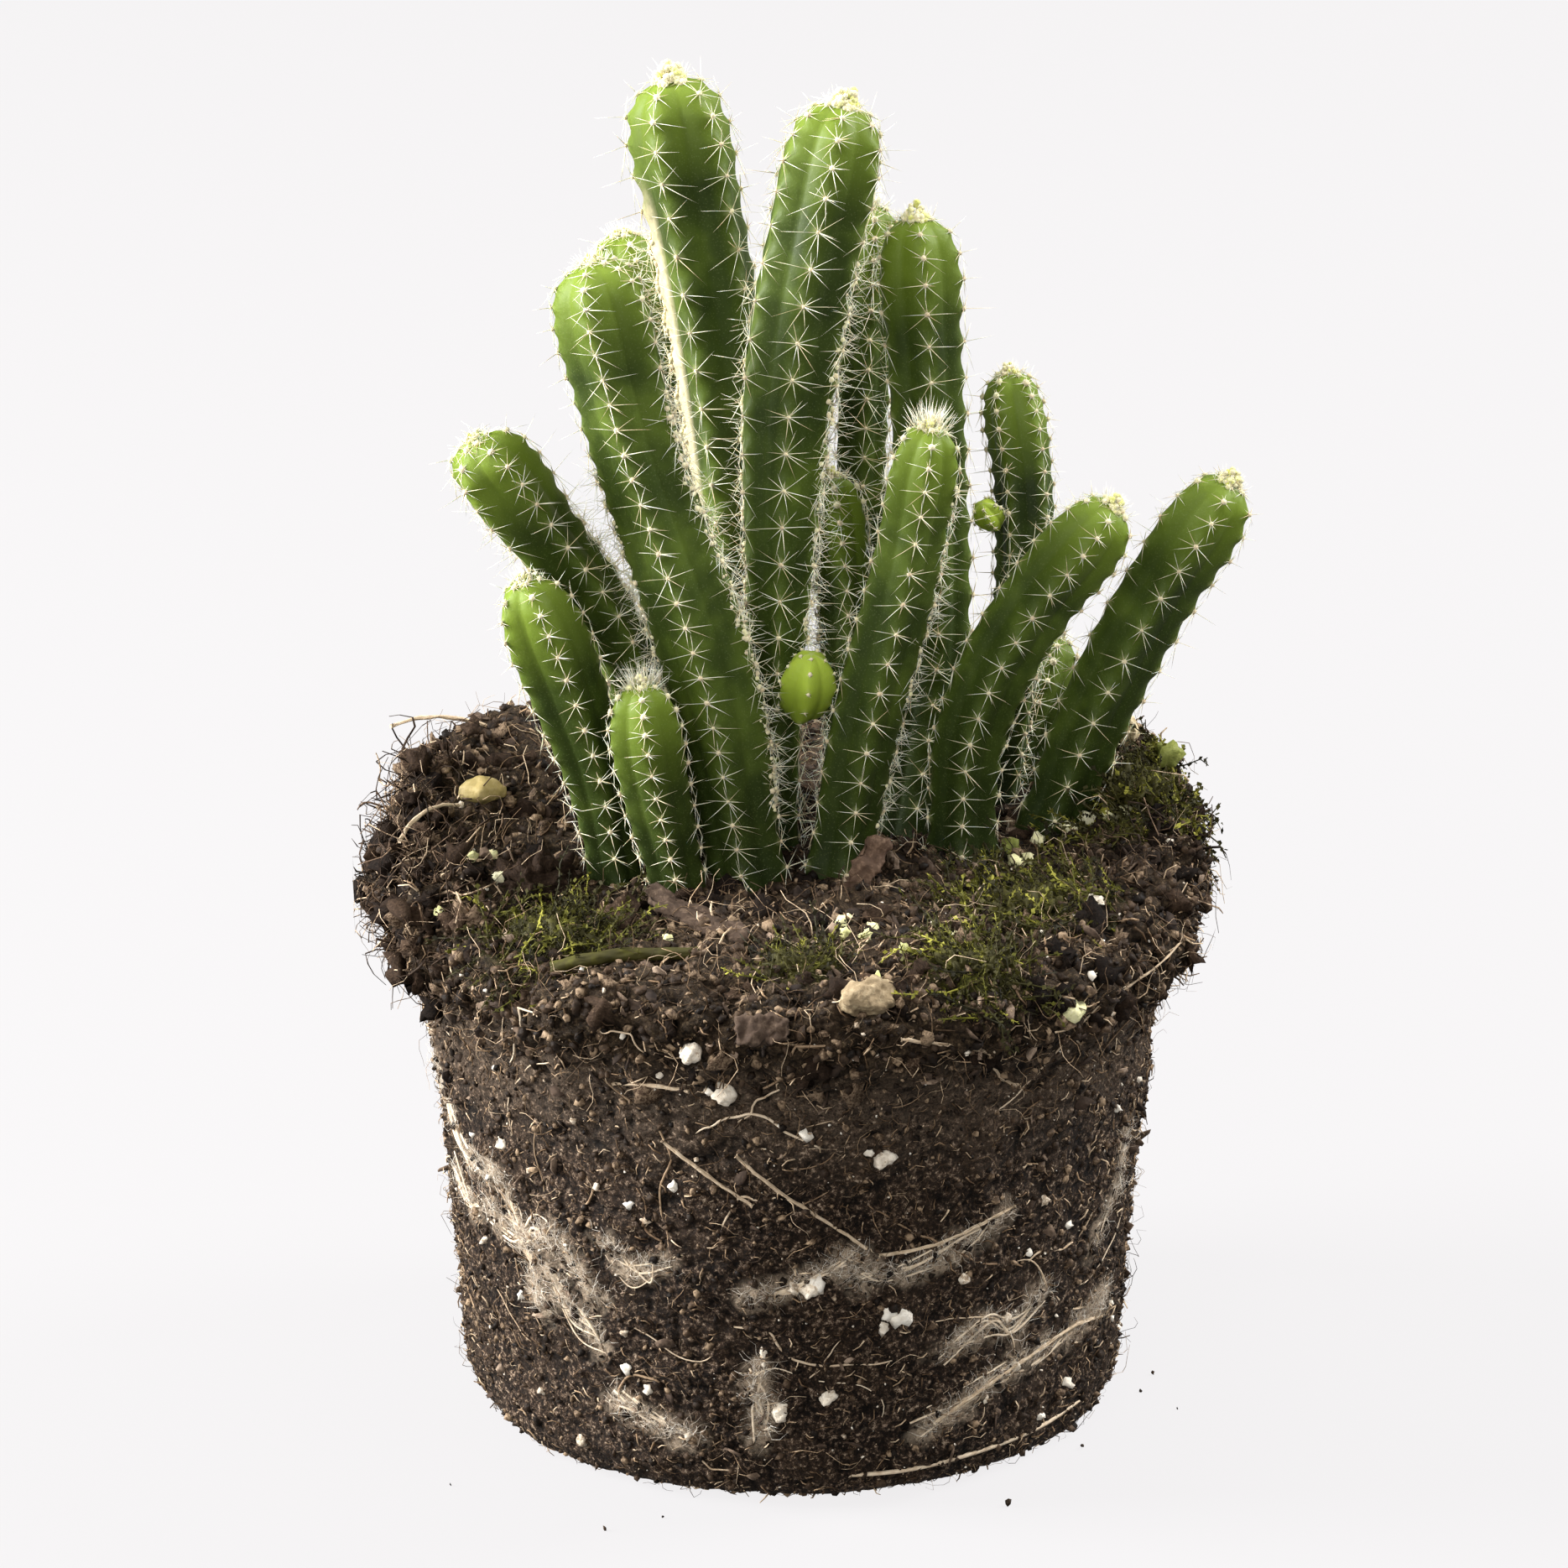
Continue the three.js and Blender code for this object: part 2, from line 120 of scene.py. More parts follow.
world = bpy.data.worlds.new("studio")
world.use_nodes = True
world.node_tree.nodes["Background"].inputs["Color"].default_value = (1, 0.995, 0.99, 1)
world.node_tree.nodes["Background"].inputs["Strength"].default_value = 0.3
bpy.context.scene.world = world
bpy.context.scene.view_settings.view_transform = "Standard"

# %% Floor
FLOOR_HALF = 2.2
FLOOR_GLOW = 0.842
BEND_RADIUS = 0.6
WALL_RISE = 2.5

def new_verts(made):
    """The points among what a bmesh operator made."""
    return [v for v in made["geom"] if isinstance(v, bmesh.types.BMVert)]

def studio_floor():
    bm = bmesh.new()
    bmesh.ops.create_grid(bm, x_segments=1, y_segments=1, size=FLOOR_HALF)
    back = [e for e in bm.edges if all(v.co.y > 0 for v in e.verts)]
    bmesh.ops.spin(
        bm, geom=back, cent=(0, FLOOR_HALF, BEND_RADIUS), axis=(1, 0, 0), angle=math.pi / 2, steps=16,
    )
    bmesh.ops.remove_doubles(bm, verts=bm.verts, dist=MM)
    top = [e for e in bm.edges if e.is_boundary and all(v.co.z > 0.9 * BEND_RADIUS for v in e.verts)]
    raised = bmesh.ops.extrude_edge_only(bm, edges=top)
    bmesh.ops.translate(bm, vec=(0, 0, WALL_RISE), verts=new_verts(raised))
    bmesh.ops.recalc_face_normals(bm, faces=bm.faces)
    mesh = bpy.data.meshes.new("studio_floor")
    bm.to_mesh(mesh)
    bm.free()
    mesh.shade_smooth()
    floor = bpy.data.objects.new("studio_floor", mesh)
    bpy.context.collection.objects.link(floor)
    return floor

floor = studio_floor()
floor.visible_diffuse = False
floor.visible_glossy = False
paper = bpy.data.materials.new("studio_paper")
paper.use_nodes = True
paper_shader = paper.node_tree.nodes["Principled BSDF"]
paper_shader.inputs["Base Color"].default_value = (0.01, 0.01, 0.01, 1)
paper_shader.inputs["Roughness"].default_value = 1
paper_shader.inputs["Emission Color"].default_value = (1, 0.982, 0.99, 1)
paper_shader.inputs["Emission Strength"].default_value = FLOOR_GLOW
floor.data.materials.append(paper)
print("floor faces:", len(floor.data.polygons))

# %% [markdown]
# ## Small helpers
# Every finished piece goes through one door: it rides on the root body, and the CAD nodes that it stands
# for are hidden. A node-building helper keeps the materials short: it makes a shader node, sets its numbers
# and joins it to other nodes in one call.

# %% Finish a piece
seated = []

def seat(piece, slot, *nodes):
    """Puts a piece on the root body, and hides the CAD nodes that it stands for."""
    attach(piece, "root")
    if nodes:
        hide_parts(*nodes)
    seated.append(piece)
    return piece

def mark_points(mesh, name, values):
    """Stores one number for each point, which a material can read."""
    layer = mesh.attributes.new(name, "FLOAT", "POINT")
    layer.data.foreach_set("value", values.astype(np.float32))

def mesh_from(bm, name):
    """Turns a bmesh into a mesh."""
    mesh = bpy.data.meshes.new(name)
    bm.to_mesh(mesh)
    bm.free()
    return mesh

def piece_of(mesh, name, material, smooth=True):
    """Turns a mesh into an object with one material."""
    mesh.materials.append(material)
    if smooth:
        mesh.shade_smooth()
    piece = bpy.data.objects.new(name, mesh)
    bpy.context.collection.objects.link(piece)
    return piece

print("pieces finished so far:", len(seated))

# %% Build materials
class Paint:
    """A material's node tree, with one short call for each kind of node."""

    def __init__(self, name, **numbers):
        self.material = bpy.data.materials.new(name)
        self.material.use_nodes = True
        self.tree = self.material.node_tree
        self.shader = self.tree.nodes["Principled BSDF"]
        for socket, value in numbers.items():
            self.shader.inputs[socket.replace("_", " ")].default_value = value
        self.place = self.tree.nodes.new("ShaderNodeTexCoord").outputs["Object"]

    def set(self, node, socket, value):
        target = node.inputs[socket]
        if isinstance(value, bpy.types.NodeSocket):
            self.tree.links.new(value, target)
        else:
            target.default_value = value

    def node(self, kind, output, **inputs):
        """A new node with its inputs set or joined; an underscore stands for a space in their names."""
        node = self.tree.nodes.new("ShaderNode" + kind)
        for socket, value in inputs.items():
            self.set(node, socket.replace("_", " "), value)
        return node.outputs[output]

    def noise(self, scale, detail=4, roughness=0.55, warp=0):
        """Cloudy noise over the piece; scale is in features per metre."""
        return self.node("TexNoise", "Fac", Vector=self.place, Scale=scale, Detail=detail,
                         Roughness=roughness, Distortion=warp)

    def cells(self, scale):
        """Cell pattern; gives the distance to the nearest cell centre."""
        return self.node("TexVoronoi", "Distance", Vector=self.place, Scale=scale)

    def attribute(self, name):
        node = self.tree.nodes.new("ShaderNodeAttribute")
        node.attribute_name = name
        return node.outputs["Fac"]

    def fit(self, value, low, high, to_low=0.0, to_high=1.0):
        """Stretches a value from low..high to to_low..to_high, and holds it there outside."""
        return self.node("MapRange", "Result", Value=value, From_Min=low, From_Max=high, To_Min=to_low,
                         To_Max=to_high)

    def math(self, operation, a, b):
        node = self.tree.nodes.new("ShaderNodeMath")
        node.operation = operation
        self.set(node, 0, a)
        self.set(node, 1, b)
        return node.outputs["Value"]

    def ramp(self, value, *stops):
        """Colours along a value: each stop is (position, (r, g, b))."""
        node = self.tree.nodes.new("ShaderNodeValToRGB")
        self.set(node, "Fac", value)
        marks = node.color_ramp.elements
        while len(marks) < len(stops):
            marks.new(0.5)
        for mark, (position, colour) in zip(marks, stops):
            mark.position = position
            mark.color = (*colour, 1)
        return node.outputs["Color"]

    def mix(self, share, first, second):
        """Goes from the first colour to the second as share goes from 0 to 1."""
        node = self.tree.nodes.new("ShaderNodeMix")
        node.data_type = "RGBA"
        colours = [s for s in node.inputs if s.type == "RGBA"]
        self.set(node, 0, share)
        for socket, value in zip(colours, (first, second)):
            if isinstance(value, bpy.types.NodeSocket):
                self.tree.links.new(value, socket)
            else:
                socket.default_value = (*value, 1)
        return next(s for s in node.outputs if s.type == "RGBA")

    def bump(self, height, distance, strength, **under):
        """Relief by shading; under may hold the Normal of a coarser relief."""
        return self.node("Bump", "Normal", Height=height, Distance=distance, Strength=strength, **under)

    def done(self, **links):
        for socket, value in links.items():
            self.set(self.shader, socket.replace("_", " "), value)
        return self.material

print("helpers ready")

# %% [markdown]
# ## Reading a stem from the frame
# Each CAD stem is a coarse column: a pointed foot, a few rings of corners and a pointed tip. In every ring
# the even corners are rib crests and the odd ones are the furrows between them. Walking outwards from the
# foot one step at a time finds ring after ring. Joined up, the corners become rails that run along every
# rib and furrow, and the fine skin is later hung on these rails, so it can't leave the place that the CAD
# gave it.

# %% Rails of a stem
JOIN_WITHIN = 0.01 * MM
NEARLY_A_TURN = 2 * math.pi - 0.01

def merged_copy(node):
    """A bmesh of a CAD node whose loose triangles are joined."""
    bm = bmesh.new()
    bm.from_mesh(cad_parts[node].data)
    bmesh.ops.remove_doubles(bm, verts=bm.verts, dist=JOIN_WITHIN)
    return bm

def mean_edge(vert):
    return sum(e.calc_length() for e in vert.link_edges) / len(vert.link_edges)

def rings_from_foot(bm):
    """Rings of corners in walking order, from the foot's point to the tip's point."""
    poles = sorted(bm.verts, key=lambda v: len(v.link_edges))[-2:]
    foot = max(poles, key=mean_edge)
    rings = [[foot]]
    seen = {foot}
    while len(seen) < len(bm.verts):
        ring = []
        for vert in rings[-1]:
            for edge in vert.link_edges:
                other = edge.other_vert(vert)
                if other not in seen:
                    seen.add(other)
                    ring.append(other)
        rings.append(ring)
    return [np.array([v.co for v in ring]) for ring in rings]

def unit(vectors):
    return vectors / np.maximum(np.linalg.norm(vectors, axis=-1, keepdims=True), 1e-12)

print("merging points closer than", JOIN_WITHIN / MM, "mm")

# %% Sort the rings into rails
def read_rails(node):
    """An array [ring, corner, xyz] of a stem, its first corner being a crest that faces the front."""
    bm = merged_copy(node)
    rings = rings_from_foot(bm)
    bm.free()
    centres = np.array([ring.mean(axis=0) for ring in rings])
    corners = len(rings[1])
    rails = [np.repeat(rings[0], corners, axis=0)]
    first = None
    for k in range(1, len(rings) - 1):
        along = unit(centres[k + 1] - centres[k - 1])
        spokes = rings[k] - centres[k]
        spokes -= np.outer(spokes @ along, along)
        if first is None:
            reach = np.linalg.norm(spokes, axis=1)
            crests = np.flatnonzero(reach > reach.mean())
            first = spokes[crests[np.argmin(rings[k][crests, 1])]]
        start = spokes[np.argmax(unit(spokes) @ unit(first))]
        across = np.cross(along, unit(start))
        turn = np.arctan2(spokes @ across, spokes @ unit(start)) % (2 * math.pi)
        turn[turn > NEARLY_A_TURN] = 0
        rails.append(rings[k][np.argsort(turn)])
        first = start
    rails.append(np.repeat(rings[-1], corners, axis=0))
    return np.array(rails)

stem_nodes = [n for n in cad_nodes if n.startswith("stem_")]
bud_nodes = [n for n in cad_nodes if n.startswith("bud_")]
rails_of = {node: read_rails(node) for node in stem_nodes + bud_nodes}
for node, rails in rails_of.items():
    print(node, "rings", rails.shape[0], "ribs", rails.shape[1] // 2)

# %% [markdown]
# ## The growth pattern of a rib
# Along each rib a cactus grows small woolly pads, the areoles, and the rib swells a little at each one.
# They sit close together at the young tip and further apart lower down. One function gives their places
# along a rib, so that the swelling of the skin, the wool and the spines all agree.

# %% Areole spacing
GROWTH = {
    # stem: spacing of areoles in mm, height of the swellings in mm, spine length in mm, spines in one areole
    "stem_tall_left": (5.6, 0.75, 4.5, 9),
    "stem_tall_centre": (5.3, 0.7, 4.5, 10),
    "stem_head_left": (3.7, 0.45, 3.8, 8),
    "stem_back_left": (3.8, 0.45, 3.8, 9),
    "stem_right_tuft": (4.6, 0.4, 3.3, 8),
    "stem_right_tall": (5.2, 0.6, 3.8, 8),
    "stem_back_slim": (4.2, 0.4, 4.4, 10),
    "stem_inner_short": (3.6, 0.35, 3.6, 9),
    "stem_right_small": (3.1, 0.5, 3.0, 8),
    "stem_right_bent": (4.3, 0.5, 3.2, 8),
    "stem_right_far": (5.4, 0.6, 3.4, 8),
    "stem_left_far": (4.6, 0.45, 4.0, 9),
    "stem_left_low": (4.2, 0.5, 3.0, 8),
    "stem_front_small": (3.5, 0.4, 2.8, 8),
    "stem_back_right": (3.8, 0.4, 3.6, 8),
    "bud_front": (3.9, 0.3, 0.9, 4),
    "bud_right_small": (1.7, 0.2, 1.3, 5),
}
TIP_GAP = 1.5 * MM
YOUNG_AREOLES = 6
YOUNG_SPACING = 0.45        # share of the full spacing at the tip
RIB_SHIFT = 0.55            # how far each rib's areoles lag behind those of the rib before it
RIM_LIT_RIBS = {
    # stem: side of its felted rib that is painted pale as rim light (-1 left, 1 right), heights in mm between
    # which it is pale
    "stem_tall_left": (-1, 92, 176),
}

def side_rib(rails, side):
    """Number of the rib that faces furthest to the left (-1) or right (1), half way up."""
    middle = rails[len(rails) // 2]
    return int(np.argmax(side * middle[::2, 0]))

def rail_knots(rails):
    """Distance travelled along the ribs at each ring, from the foot over the dome to the tip."""
    steps = np.linalg.norm(np.diff(rails, axis=0), axis=2).mean(axis=1)
    return np.concatenate([[0], np.cumsum(steps)])

def areole_places(length, spacing, offset):
    """Distances of one rib's areoles from the foot, tip first; offset (0 to 1) shifts them along the rib."""
    places = [length - TIP_GAP * (0.7 + offset)]
    while places[-1] > spacing:
        age = min(1, len(places) / YOUNG_AREOLES)
        places.append(places[-1] - spacing * (YOUNG_SPACING + (1 - YOUNG_SPACING) * age))
    return np.array(places)

def rib_offset(rib):
    return (RIB_SHIFT * rib) % 1

print("areoles on one rib of the tallest stem:",
      len(areole_places(rail_knots(rails_of["stem_tall_left"])[-1], GROWTH["stem_tall_left"][0] * MM, 0)))

# %% [markdown]
# ## The skin of a stem
# A real stem is one smooth closed skin, so it starts from one closed shape: a UV sphere with twelve
# meridians to each rib. Its parallels become the sections of the stem and its two poles become foot and
# tip. Each point is moved onto the rails: between a crest and a furrow the surface follows a rounded ridge
# with nearly flat flanks, and along the crest it swells at every areole. Modelling a few rings by hand and
# subdividing would be quicker, but it would wash out the scallops that the outline of the plant shows.

# %% Surface of a stem
POINTS_PER_RIB = 12
RING_STEP = 0.75 * MM
RIDGE_ROUND = 0.11
FLANK_POWER = 1.1
FURROW_FILL = 1.045
CREST_HOLD = 4
WAVE_MIDDLE = 0.6
TIP_FADE = 6 * MM
TIP_SWELLING = 0.15
FEWEST_RINGS = 24

def between(values, knots, x):
    """Smooth curve through values at the knots, taken at x (cubic, with slopes from the neighbours)."""
    slopes = np.gradient(values, knots, axis=0)
    i = np.clip(np.searchsorted(knots, x, side="right") - 1, 0, len(knots) - 2)
    span = (knots[i + 1] - knots[i]).reshape((-1,) + (1,) * (values.ndim - 1))
    t = ((x - knots[i]).reshape(span.shape)) / span
    a = values[i] * (2 * t**3 - 3 * t**2 + 1) + slopes[i] * span * (t**3 - 2 * t**2 + t)
    b = values[i + 1] * (3 * t**2 - 2 * t**3) + slopes[i + 1] * span * (t**3 - t**2)
    return a + b

def ridge(share):
    """Height of the flank from crest (share 0) to furrow (share 1)."""
    drop = (np.hypot(share, RIDGE_ROUND) - RIDGE_ROUND) / (math.hypot(1, RIDGE_ROUND) - RIDGE_ROUND)
    return (1 - drop) ** FLANK_POWER

print("height of a flank half way down:", round(float(ridge(0.5)), 2))

# %% One stem's surface
class Stem:
    """The surface of one stem: a point for every distance along it and every turn round it."""

    def __init__(self, node):
        spacing, swelling, self.spine_length, self.spines = GROWTH[node]
        self.node = node
        self.rails = rails_of[node]
        self.ribs = self.rails.shape[1] // 2
        self.knots = rail_knots(self.rails)
        self.length = self.knots[-1]
        self.swelling = swelling * MM
        self.centres = self.rails.mean(axis=1)
        self.areoles = [
            areole_places(self.length, spacing * MM, rib_offset(rib)) for rib in range(self.ribs)
        ]

    def wave(self, along, rib):
        """1 at an areole of that rib and 0 midway between two."""
        result = np.zeros(len(along))
        for r in range(self.ribs):
            mine = rib == r
            places = self.areoles[r][::-1]
            count = np.interp(along[mine], places, np.arange(len(places)))
            result[mine] = 0.5 + 0.5 * np.cos(2 * math.pi * count)
        return result

    def point(self, along, turn):
        """Points of the skin; along in metres from the foot, turn from 0 to 1 round the stem."""
        rails = between(self.rails, self.knots, along)
        centre = between(self.centres, self.knots, along)
        place = (turn % 1) * self.ribs * 2
        crest = (2 * np.round(place / 2)).astype(int)
        side = np.where(place >= crest, 1, -1)
        share = np.abs(place - crest)
        row = np.arange(len(along))
        to_crest = rails[row, crest % (2 * self.ribs)] - centre
        to_furrow = rails[row, (crest + side) % (2 * self.ribs)] - centre
        height = ridge(share)
        furrow = np.linalg.norm(to_furrow, axis=1) * FURROW_FILL
        reach = furrow * (1 - height) + np.linalg.norm(to_crest, axis=1) * height
        heading = unit(unit(to_crest) * (1 - share)[:, None] + unit(to_furrow) * share[:, None])
        rib = (crest // 2) % self.ribs
        wave = self.wave(along, rib)
        fade = np.clip((self.length - along) / TIP_FADE, TIP_SWELLING, 1)
        reach = reach + self.swelling * fade * height**CREST_HOLD * (wave - WAVE_MIDDLE)
        return centre + heading * np.maximum(reach, 0)[:, None], height, wave

stems = {node: Stem(node) for node in stem_nodes + bud_nodes}
print("stem lengths in mm:", {n: round(s.length / MM) for n, s in stems.items()})

# %% Skin pieces
RIM_LIT_FADE = 12              # mm over which the painted rim light fades in and out
YOUNG_LENGTH = 20 * MM      # from the tip, with young tissue
FOOT_SHADE_LEVEL = 76 * MM         # height below which the painted shade at the foot is full
FOOT_SHADE_FADE = 34 * MM

def skin_mesh(stem):
    bm = bmesh.new()
    around = POINTS_PER_RIB * stem.ribs
    rings = max(FEWEST_RINGS, round(stem.length / RING_STEP))
    bmesh.ops.create_uvsphere(bm, u_segments=around, v_segments=rings, radius=1)
    mesh = mesh_from(bm, "skin_" + stem.node)
    ball = np.empty(len(mesh.vertices) * 3)
    mesh.vertices.foreach_get("co", ball)
    ball = ball.reshape(-1, 3)
    along = (np.arcsin(np.clip(ball[:, 2], -1, 1)) / math.pi + 0.5) * stem.length
    turn = np.round(np.arctan2(ball[:, 1], ball[:, 0]) / (2 * math.pi) * around) / around
    place, height, wave = stem.point(along, turn)
    mesh.vertices.foreach_set("co", place.ravel())
    side, low, high = RIM_LIT_RIBS.get(stem.node, (1, 0, 0))
    on_rib = np.round(turn * stem.ribs) % stem.ribs == side_rib(stem.rails, side)
    level = place[:, 2] / MM
    pale = on_rib * np.clip((level - low) / RIM_LIT_FADE, 0, 1) * np.clip((high - level) / RIM_LIT_FADE, 0, 1)
    for name, values in (
        ("crest", height),
        ("areole", height**6 * wave**4),
        ("pale", pale * np.clip(4 * height - 0.2, 0, 1)),
        ("young", np.clip(1 - (stem.length - along) / YOUNG_LENGTH, 0, 1)),
        ("foot_shade", np.clip(1 - (place[:, 2] - FOOT_SHADE_LEVEL) / FOOT_SHADE_FADE, 0, 1)),
    ):
        mark_points(mesh, name, values)
    mesh.update()
    return mesh

print("rings on the tallest skin:", round(stems["stem_tall_left"].length / RING_STEP))

# %% [markdown]
# ## The colour of the skin
# Young tissue at the tip is yellow-green and the middle is a deep leaf green. Towards the foot the skin is
# painted nearly black-green as painted shade, and the furrows are painted darker than the crests as painted
# shade. One felted rib gets a pale strip of painted rim light, and a light halo surrounds each areole. The
# skin is waxy: fairly smooth, with a weak coat, and a little light passes through it, which helps the rims
# glow.

# %% Skin material
def skin_material(name, dark, mid, bright, tip):
    paint = Paint(name, Roughness=0.52, Subsurface_Weight=0.07, Subsurface_Scale=0.004,
                  Coat_Weight=0.02, Coat_Roughness=0.35, Specular_IOR_Level=0.17)
    paint.shader.inputs["Subsurface Radius"].default_value = (0.6, 1.0, 0.2)
    cloud = paint.noise(90, 3, 0.6)
    fine = paint.noise(900, 3, 0.6)
    green = paint.ramp(paint.fit(cloud, 0.3, 0.7), (0, dark), (0.55, mid), (1, bright))
    # crests mixed towards the bright green, furrows left dark: painted shade in the furrows
    crest = paint.fit(paint.attribute("crest"), 0.5, 1.0, 0, 0.6)
    green = paint.mix(crest, green, bright)
    green = paint.mix(paint.fit(paint.attribute("young"), 0.1, 0.95), green, tip)
    # the lower skin is darkened to nearly black-green: painted shade near the soil
    green = paint.mix(paint.fit(paint.attribute("foot_shade"), 0.0, 1.0, 0, 0.88), green, (0.008, 0.014, 0.003))
    green = paint.mix(paint.fit(paint.attribute("areole"), 0.2, 1, 0, 0.7), green, (0.42, 0.46, 0.2))
    speckle = paint.fit(paint.cells(2600), 0.0, 0.35, 0.16, 0.0)
    green = paint.mix(speckle, green, (0.3, 0.36, 0.14))
    # one felted rib is painted pale tan: painted rim light
    pale = paint.math("MULTIPLY", paint.attribute("pale"), paint.fit(fine, 0.3, 0.55, 0.55, 0.95))
    green = paint.mix(pale, green, (0.66, 0.57, 0.36))
    bump = paint.bump(fine, 0.0003, 0.25)
    return paint.done(Base_Color=green, Normal=bump)

skin = skin_material("cactus_skin", (0.019, 0.032, 0.004), (0.038, 0.06, 0.007), (0.085, 0.125, 0.015),
                     (0.16, 0.23, 0.02))
bud_skin = skin_material("bud_skin", (0.12, 0.2, 0.015), (0.2, 0.31, 0.022), (0.3, 0.42, 0.04),
                         (0.36, 0.47, 0.05))
for node, stem in stems.items():
    material = bud_skin if node in bud_nodes else skin
    piece = piece_of(skin_mesh(stem), "skin_" + node, material)
    seat(piece, "bud_skin" if node in bud_nodes else "stem_skin", node)
print("skins:", len(seated), "faces:", sum(len(p.data.polygons) for p in seated))

# %% [markdown]
# ## Laying many small copies
# Spines, crumbs, fibres and moss are the same few shapes laid hundreds of times. Each shape is modelled
# once with a few dozen faces. The copies are then laid in one mesh, each with its own place, turn and size,
# and with a number called tone that lets the material give every copy a slightly different colour.

# %% Copies in one mesh
def shape_arrays(bm):
    """The points and faces of a small modelled shape."""
    bm.verts.index_update()
    points = np.array([v.co for v in bm.verts])
    faces = [[v.index for v in f.verts] for f in bm.faces]
    bm.free()
    return points, faces

def corner_rows(faces):
    """All corners in one row, and the number of corners of each face."""
    return np.array([c for face in faces for c in face]), np.array([len(face) for face in faces])

RIM_LIMIT = cad_box[1].y + 3 * MM
LITTER_TOP = 95 * MM
LEAST_HEIGHT = 0.05 * MM

def kept_in(points):
    """Presses loose ends back onto the floor and inside the width that the CAD model allows."""
    points = points.copy()
    points[:, 2] = np.maximum(points[:, 2], LEAST_HEIGHT)
    radius = np.hypot(points[:, 0], points[:, 1])
    too_wide = (radius > RIM_LIMIT) & (points[:, 2] < LITTER_TOP)
    points[too_wide, :2] *= (RIM_LIMIT / radius[too_wide])[:, None]
    return points

def mesh_of_blocks(name, blocks, material, smooth=True):
    """One piece from blocks of (points, face corners, corners per face, tone of each point)."""
    starts = np.cumsum([0] + [len(block[0]) for block in blocks[:-1]])
    points = kept_in(np.concatenate([block[0] for block in blocks]))
    loops = np.concatenate([block[1] + start for block, start in zip(blocks, starts)])
    totals = np.concatenate([block[2] for block in blocks])
    mesh = bpy.data.meshes.new(name)
    mesh.vertices.add(len(points))
    mesh.vertices.foreach_set("co", points.ravel())
    mesh.loops.add(len(loops))
    mesh.loops.foreach_set("vertex_index", loops.astype(np.int32))
    mesh.polygons.add(len(totals))
    mesh.polygons.foreach_set("loop_start", (np.cumsum(totals) - totals).astype(np.int32))
    mesh.update(calc_edges=True)
    mesh.validate()
    mark_points(mesh, "tone", np.concatenate([block[3] for block in blocks]))
    return piece_of(mesh, name, material, smooth)

print("loose ends stay within", round(RIM_LIMIT / MM, 1), "mm of the axis")

# %% Lay copies
def lay_copies(name, shapes, frames, picks, tones, material, smooth=True):
    """One piece made of copies: frames are 3x4 arrays, picks choose the shape, tones are 0 to 1."""
    blocks = []
    for index, (corners, faces) in enumerate(shapes):
        mine = np.flatnonzero(picks == index)
        placed = np.einsum("mij,nj->mni", frames[mine, :, :3], corners) + frames[mine, None, :, 3]
        flat, sizes = corner_rows(faces)
        shift = np.arange(len(mine))[:, None] * len(corners)
        tone = np.repeat(tones[mine], len(corners))
        blocks.append((placed.reshape(-1, 3), (flat + shift).ravel(), np.tile(sizes, len(mine)), tone))
    return mesh_of_blocks(name, blocks, material, smooth)

def frames_towards(places, ups, length, width, spin):
    """3x4 frames whose Z follows ups; length and width scale the shape along and across it."""
    ups = unit(ups)
    helper = np.where(np.abs(ups[:, 2:3]) < 0.9, [[0, 0, 1]], [[1, 0, 0]])
    x = unit(np.cross(helper, ups))
    y = np.cross(ups, x)
    c, s = np.cos(spin)[:, None], np.sin(spin)[:, None]
    x, y = x * c + y * s, y * c - x * s
    frames = np.empty((len(places), 3, 4))
    frames[:, :, 0] = x * np.reshape(width, (-1, 1))
    frames[:, :, 1] = y * np.reshape(width, (-1, 1))
    frames[:, :, 2] = ups * np.reshape(length, (-1, 1))
    frames[:, :, 3] = places
    return frames

print("copies ready")

# %% [markdown]
# ## Spines and wool
# Every areole carries a pad of cream wool and a star of fine needles. A needle is a three-sided cone: at a
# seventh of a millimetre across nobody can count its sides. Most needles lie low over the flanks of the
# stem, and one or two stand out. At the tips the areoles crowd together, so their wool joins up in a pale
# yellowish tuft.

# %% Needle and pad shapes
def needle_shape(bend):
    bm = bmesh.new()
    bmesh.ops.create_cone(bm, segments=3, radius1=1, radius2=0, depth=1, cap_ends=True)
    bmesh.ops.translate(bm, vec=(0, 0, 0.5), verts=bm.verts)
    sides = [e for e in bm.edges if abs(e.verts[0].co.z - e.verts[1].co.z) > 0.5]
    bmesh.ops.subdivide_edges(bm, edges=sides, cuts=1)
    for vert in bm.verts:
        if 0.3 < vert.co.z < 0.7:
            vert.co.x = vert.co.x * 1.35 + bend
            vert.co.y *= 1.35
    return shape_arrays(bm)

def pad_shape(seed):
    bm = bmesh.new()
    bmesh.ops.create_icosphere(bm, subdivisions=1, radius=1)
    for vert in bm.verts:
        vert.co *= 1 + 0.35 * noise.noise(vert.co * 1.7 + Vector((seed, 0, 0)))
    return shape_arrays(bm)

needles = [needle_shape(0), needle_shape(0.6), needle_shape(-0.8)]
pads = [pad_shape(seed) for seed in range(3)]
print("needle faces:", len(needles[0][1]), "pad faces:", len(pads[0][1]))

# %% Areoles of a stem
SOIL_LEVEL = 78 * MM
AREOLE_STEP = 0.3 * MM
dice = np.random.default_rng(7)

FULL_TURN = 6.28

def any_turn(count):
    """Random turns in radians."""
    return dice.uniform(0, FULL_TURN, count)

